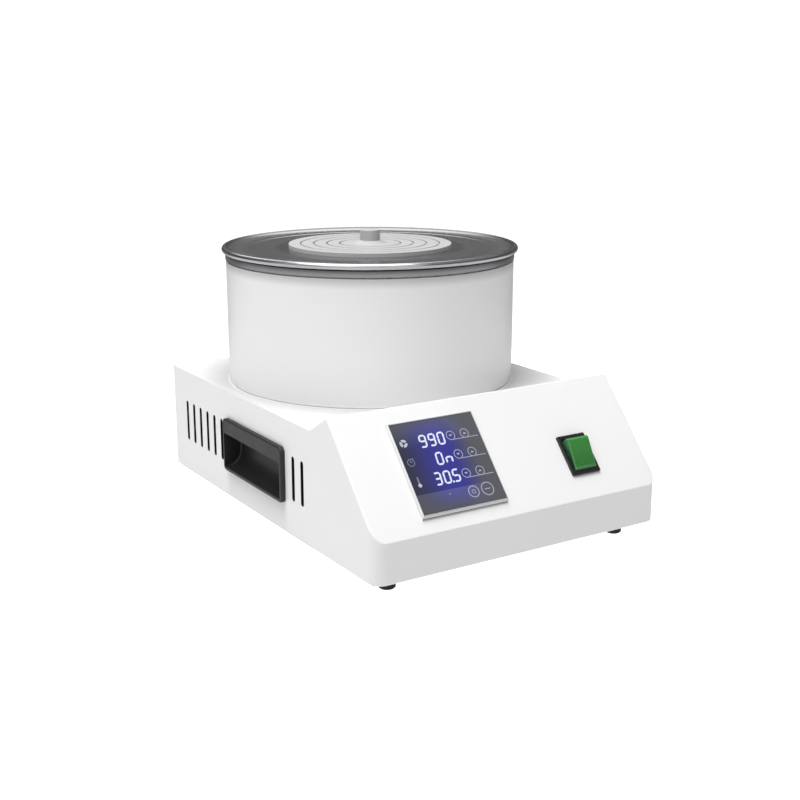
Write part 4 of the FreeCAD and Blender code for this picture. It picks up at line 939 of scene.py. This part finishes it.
def make_room(low_light, high_light):
    """Surroundings dim near the floor and brighter overhead, white where the camera sees them."""
    world = bpy.data.worlds.new("studio_room")
    bpy.context.scene.world = world
    room = ShaderTree(world, "BACKGROUND")
    room.set("Color", grey(1.0))
    direction = room.node("ShaderNodeTexCoord", output="Generated")
    climb = room.node("ShaderNodeSeparateXYZ", None, {"Vector": direction}, "Z")
    overhead = room.smooth(climb, *[math.sin(math.radians(angle)) for angle in ROOM_TURN])
    seen = room.node("ShaderNodeLightPath", output="Is Camera Ray")
    level = overhead * (high_light - low_light) + low_light
    room.set("Strength", level * (1 - seen) + seen * SEEN_ROOM)
    bpy.context.scene.view_settings.view_transform = "Standard"


def add_light(name, place, aim, width, height, power):
    data = bpy.data.lights.new(name, "AREA")
    data.shape = "RECTANGLE"
    data.size = width
    data.size_y = height
    data.energy = power
    light = bpy.data.objects.new(name, data)
    light.location = place
    light.rotation_mode = "QUATERNION"
    light.rotation_quaternion = (Vector(aim) - Vector(place)).to_track_quat("-Z", "Y")
    bpy.context.scene.collection.objects.link(light)
    return light


HOUSING_TOP = (0, 0, 0.1)
LID_MIDDLE = (0, 0.05, 0.21)


def make_lights():
    """Soft boxes overhead and on the left, and two cards that give reflections but no diffuse light."""
    add_light("softbox_overhead", (-0.2, 0.05, 1.9), HOUSING_TOP, width=1.4, height=1.4, power=37.0)
    add_light("softbox_upper_left", (-0.9, -0.3, 1.6), HOUSING_TOP, width=1.2, height=1.2, power=9.0)
    add_light("softbox_left", (-1.8, 0.0, 0.8), HOUSING_TOP, width=1.2, height=1.2, power=1.5)
    behind = add_light("card_behind", (0.44, 1.5, 1.52), LID_MIDDLE, width=1.8, height=1.15, power=9.0)
    in_front = add_light("card_in_front", (-0.9, -1.45, 1.15), LID_MIDDLE, width=3.0, height=2.0, power=17.0)
    for card in (behind, in_front):
        card.visible_diffuse = False


def make_camera(studio):
    data = bpy.data.cameras.new("photo_camera")
    data.sensor_width = 36.0
    data.lens = studio.lens
    data.clip_start = 0.01
    data.clip_end = 200.0
    camera = bpy.data.objects.new("photo_camera", data)
    camera.location = studio.camera_place
    camera.rotation_mode = "QUATERNION"
    look = Vector(studio.camera_aim) - Vector(studio.camera_place)
    camera.rotation_quaternion = look.to_track_quat("-Z", "Y")
    bpy.context.scene.collection.objects.link(camera)
    bpy.context.scene.camera = camera


# Colours of the small and the inner pieces

LCD_BLACK = (0.008, 0.008, 0.014)
SWITCH_BLACK = (0.006, 0.006, 0.007)
FOOT_BLACK = (0.012, 0.012, 0.012)
PLATE_STEEL = (0.5, 0.51, 0.52)
SCREW_STEEL = (0.55, 0.55, 0.56)
SEAL_GREY = (0.7, 0.7, 0.7)
WOOL_BEIGE = (0.7, 0.64, 0.48)
HEATER_STEEL = (0.42, 0.4, 0.37)
MOTOR_STEEL = (0.3, 0.31, 0.33)
MAGNET_NICKEL = (0.7, 0.69, 0.67)
SINK_ALUMINIUM = (0.6, 0.6, 0.62)
CONTACT_BRASS = (0.6, 0.42, 0.16)
CORE_IRON = (0.08, 0.08, 0.09)
BOARD_GREEN = (0.01, 0.09, 0.03)
STIRRER_WHITE = (0.85, 0.85, 0.84)


# Operators, one for each piece or group of like pieces


class BATH_OT_housing(bpy.types.Operator):
    """Finish the moulded housing"""
    bl_idname = "bath.housing"
    bl_label = "Housing"

    def execute(self, context):
        dress(housing_finish(context.scene.bath_colours.housing), "housing_shell")
        return {"FINISHED"}


class BATH_OT_bath(bpy.types.Operator):
    """Finish the jacket, the pot and the lid plate"""
    bl_idname = "bath.bath"
    bl_label = "Bath and lid plate"

    def execute(self, context):
        colours = context.scene.bath_colours
        dress(jacket_finish(colours.jacket), "bath_jacket")
        dress(spun_steel_finish("lid_steel", colours.steel, 0.2), "lid_plate", "lid_locating_ring")
        # The pot's steel is a darker copy of the lid's, and carries painted shade under its rim top.
        rim_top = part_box("bath_pot")[1].z
        dress(spun_steel_finish("pot_steel", scaled(colours.steel, 0.7), 0.26, rim_top), "bath_pot")
        return {"FINISHED"}


class BATH_OT_rings(bpy.types.Operator):
    """Finish the nested reducing rings, the centre cover and its knob"""
    bl_idname = "bath.rings"
    bl_label = "Reducing rings"

    def execute(self, context):
        rings = [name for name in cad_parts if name.startswith("reducing_ring")]
        dress(ring_finish(context.scene.bath_colours.rings), "centre_cover", "lid_knob", *rings)
        return {"FINISHED"}


class BATH_OT_grips(bpy.types.Operator):
    """Finish the two grips"""
    bl_idname = "bath.grips"
    bl_label = "Grips"

    def execute(self, context):
        dress(grip_finish(context.scene.bath_colours.grips), "grip_left", "grip_right")
        return {"FINISHED"}


class BATH_OT_display(bpy.types.Operator):
    """Finish the display and print its figures, keys and signs"""
    bl_idname = "bath.display"
    bl_label = "Display"

    def execute(self, context):
        colours, sizes = context.scene.bath_colours, context.scene.bath_print
        dress(trim_finish(colours.trim), "display_frame")
        dress(glass_finish(colours.glass_dark, colours.glass_reflection_and_strip, colours.glow), "touch_glass")
        dress(moulded_finish("lcd_dark", LCD_BLACK), "lcd_module")
        thickness = in_mm(sizes.thickness)
        stroke = in_mm(sizes.key_stroke)
        figure_sizes = (in_mm(sizes.figure_width), in_mm(sizes.figure_height), in_mm(sizes.figure_stroke),
                        thickness)
        key_radius = in_mm(sizes.key_radius)
        drawings = {"figures": (figures_shape(figure_sizes), colours.figures),
                    "bright_marks": (bright_marks_shape(thickness), colours.bright_marks),
                    "keys": (keys_shape(key_radius, stroke, thickness), colours.marks),
                    "faint_marks": (faint_marks_shape(stroke, thickness), colours.faint_marks)}
        for name, (shape, colour) in drawings.items():
            shape.transform(panel_matrix(GLASS_CENTRE, DRAWING_ORIGIN))
            material = print_finish("print_" + name, colour)
            new_piece("display_" + name, shape, material, "housing")
        return {"FINISHED"}


class BATH_OT_switch(bpy.types.Operator):
    """Finish the power switch"""
    bl_idname = "bath.switch"
    bl_label = "Power switch"

    def execute(self, context):
        colours = context.scene.bath_colours
        dress(moulded_finish("switch_black", SWITCH_BLACK), "switch_body", "inlet_body", "fuse_drawer")
        dress(rocker_finish(colours.rocker, colours.rocker_shaded_side, colours.rocker_rim_highlight), "switch_rocker")
        return {"FINISHED"}


class BATH_OT_underside(bpy.types.Operator):
    """Finish the base plate, the feet and every screw"""
    bl_idname = "bath.underside"
    bl_label = "Base, feet and screws"

    def execute(self, context):
        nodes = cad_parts
        dress(rubber_finish("foot_rubber", FOOT_BLACK),
              *[name for name in nodes if name.startswith("foot_front") or name.startswith("foot_rear")])
        dress(sheet_steel_finish("plate_steel", PLATE_STEEL), "base_plate", "motor_bracket")
        screws = [name for name in nodes if name.endswith("screws") or name.endswith("_screw")]
        dress(sheet_steel_finish("screw_steel", SCREW_STEEL, 0.3), "foot_nuts", "board_standoffs",
              "temperature_probe", "probe_clip", *screws)
        return {"FINISHED"}


class BATH_OT_inside(bpy.types.Operator):
    """Finish the heater, the insulation, the stirring drive and the electronics"""
    bl_idname = "bath.inside"
    bl_label = "Inner pieces"

    def execute(self, context):
        dress(rubber_finish("seal_silicone", SEAL_GREY), "rim_seal")
        dress(wool_finish(WOOL_BEIGE), "insulation_sleeve", "floor_insulation")
        dress(sheet_steel_finish("heater_band", HEATER_STEEL, 0.4), "band_heater")
        dress(sheet_steel_finish("motor_steel", MOTOR_STEEL, 0.4), "motor_housing", "drive_shaft",
              "magnet_holder", "motor_bearings")
        dress(sheet_steel_finish("magnet_nickel", MAGNET_NICKEL, 0.18), "drive_magnets")
        dress(sheet_steel_finish("sink_aluminium", SINK_ALUMINIUM, 0.4), "heat_sink")
        dress(sheet_steel_finish("contact_brass", CONTACT_BRASS, 0.3), "switch_terminals", "inlet_pins")
        dress(laminated_finish(CORE_IRON), "transformer")
        dress(board_finish(BOARD_GREEN), "control_board", "power_board")
        dress(moulded_finish("stirrer_white", STIRRER_WHITE, 0.25), "stir_bar")
        return {"FINISHED"}


class BATH_OT_stage(bpy.types.Operator):
    """Make the floor, the surroundings, the lights and the camera"""
    bl_idname = "bath.stage"
    bl_label = "Studio"

    def execute(self, context):
        studio = context.scene.bath_studio
        make_floor(studio.floor_glow)
        make_room(studio.room_low, studio.room_high)
        make_lights()
        make_camera(studio)
        return {"FINISHED"}


PIECE_OPERATORS = (BATH_OT_housing, BATH_OT_bath, BATH_OT_rings, BATH_OT_grips, BATH_OT_display,
                   BATH_OT_switch, BATH_OT_underside, BATH_OT_inside, BATH_OT_stage)


class BATH_PT_panel(bpy.types.Panel):
    """Lists the bath's pieces and their settings"""
    bl_idname = "BATH_PT_panel"
    bl_label = "Stirred water bath"
    bl_space_type = "VIEW_3D"
    bl_region_type = "UI"
    bl_category = "Water Bath"

    def draw(self, context):
        for operator in PIECE_OPERATORS:
            self.layout.operator(operator.bl_idname)
        for group in (context.scene.bath_colours, context.scene.bath_print, context.scene.bath_studio):
            for name in type(group).__annotations__:
                self.layout.prop(group, name)


PROPERTY_GROUPS = (BATH_PG_colours, BATH_PG_print, BATH_PG_studio)
CLASSES = PROPERTY_GROUPS + PIECE_OPERATORS + (BATH_PT_panel,)


def register():
    for made in CLASSES:
        bpy.utils.register_class(made)
    bpy.types.Scene.bath_colours = bpy.props.PointerProperty(type=BATH_PG_colours)
    bpy.types.Scene.bath_print = bpy.props.PointerProperty(type=BATH_PG_print)
    bpy.types.Scene.bath_studio = bpy.props.PointerProperty(type=BATH_PG_studio)


def unregister():
    del bpy.types.Scene.bath_studio
    del bpy.types.Scene.bath_print
    del bpy.types.Scene.bath_colours
    for made in reversed(CLASSES):
        bpy.utils.unregister_class(made)


def main():
    register()
    for operator in PIECE_OPERATORS:
        group, name = operator.bl_idname.split(".")
        if getattr(getattr(bpy.ops, group), name)() != {"FINISHED"}:
            raise RuntimeError(f"{operator.bl_idname} did not finish")


if __name__ == "__main__":
    main()
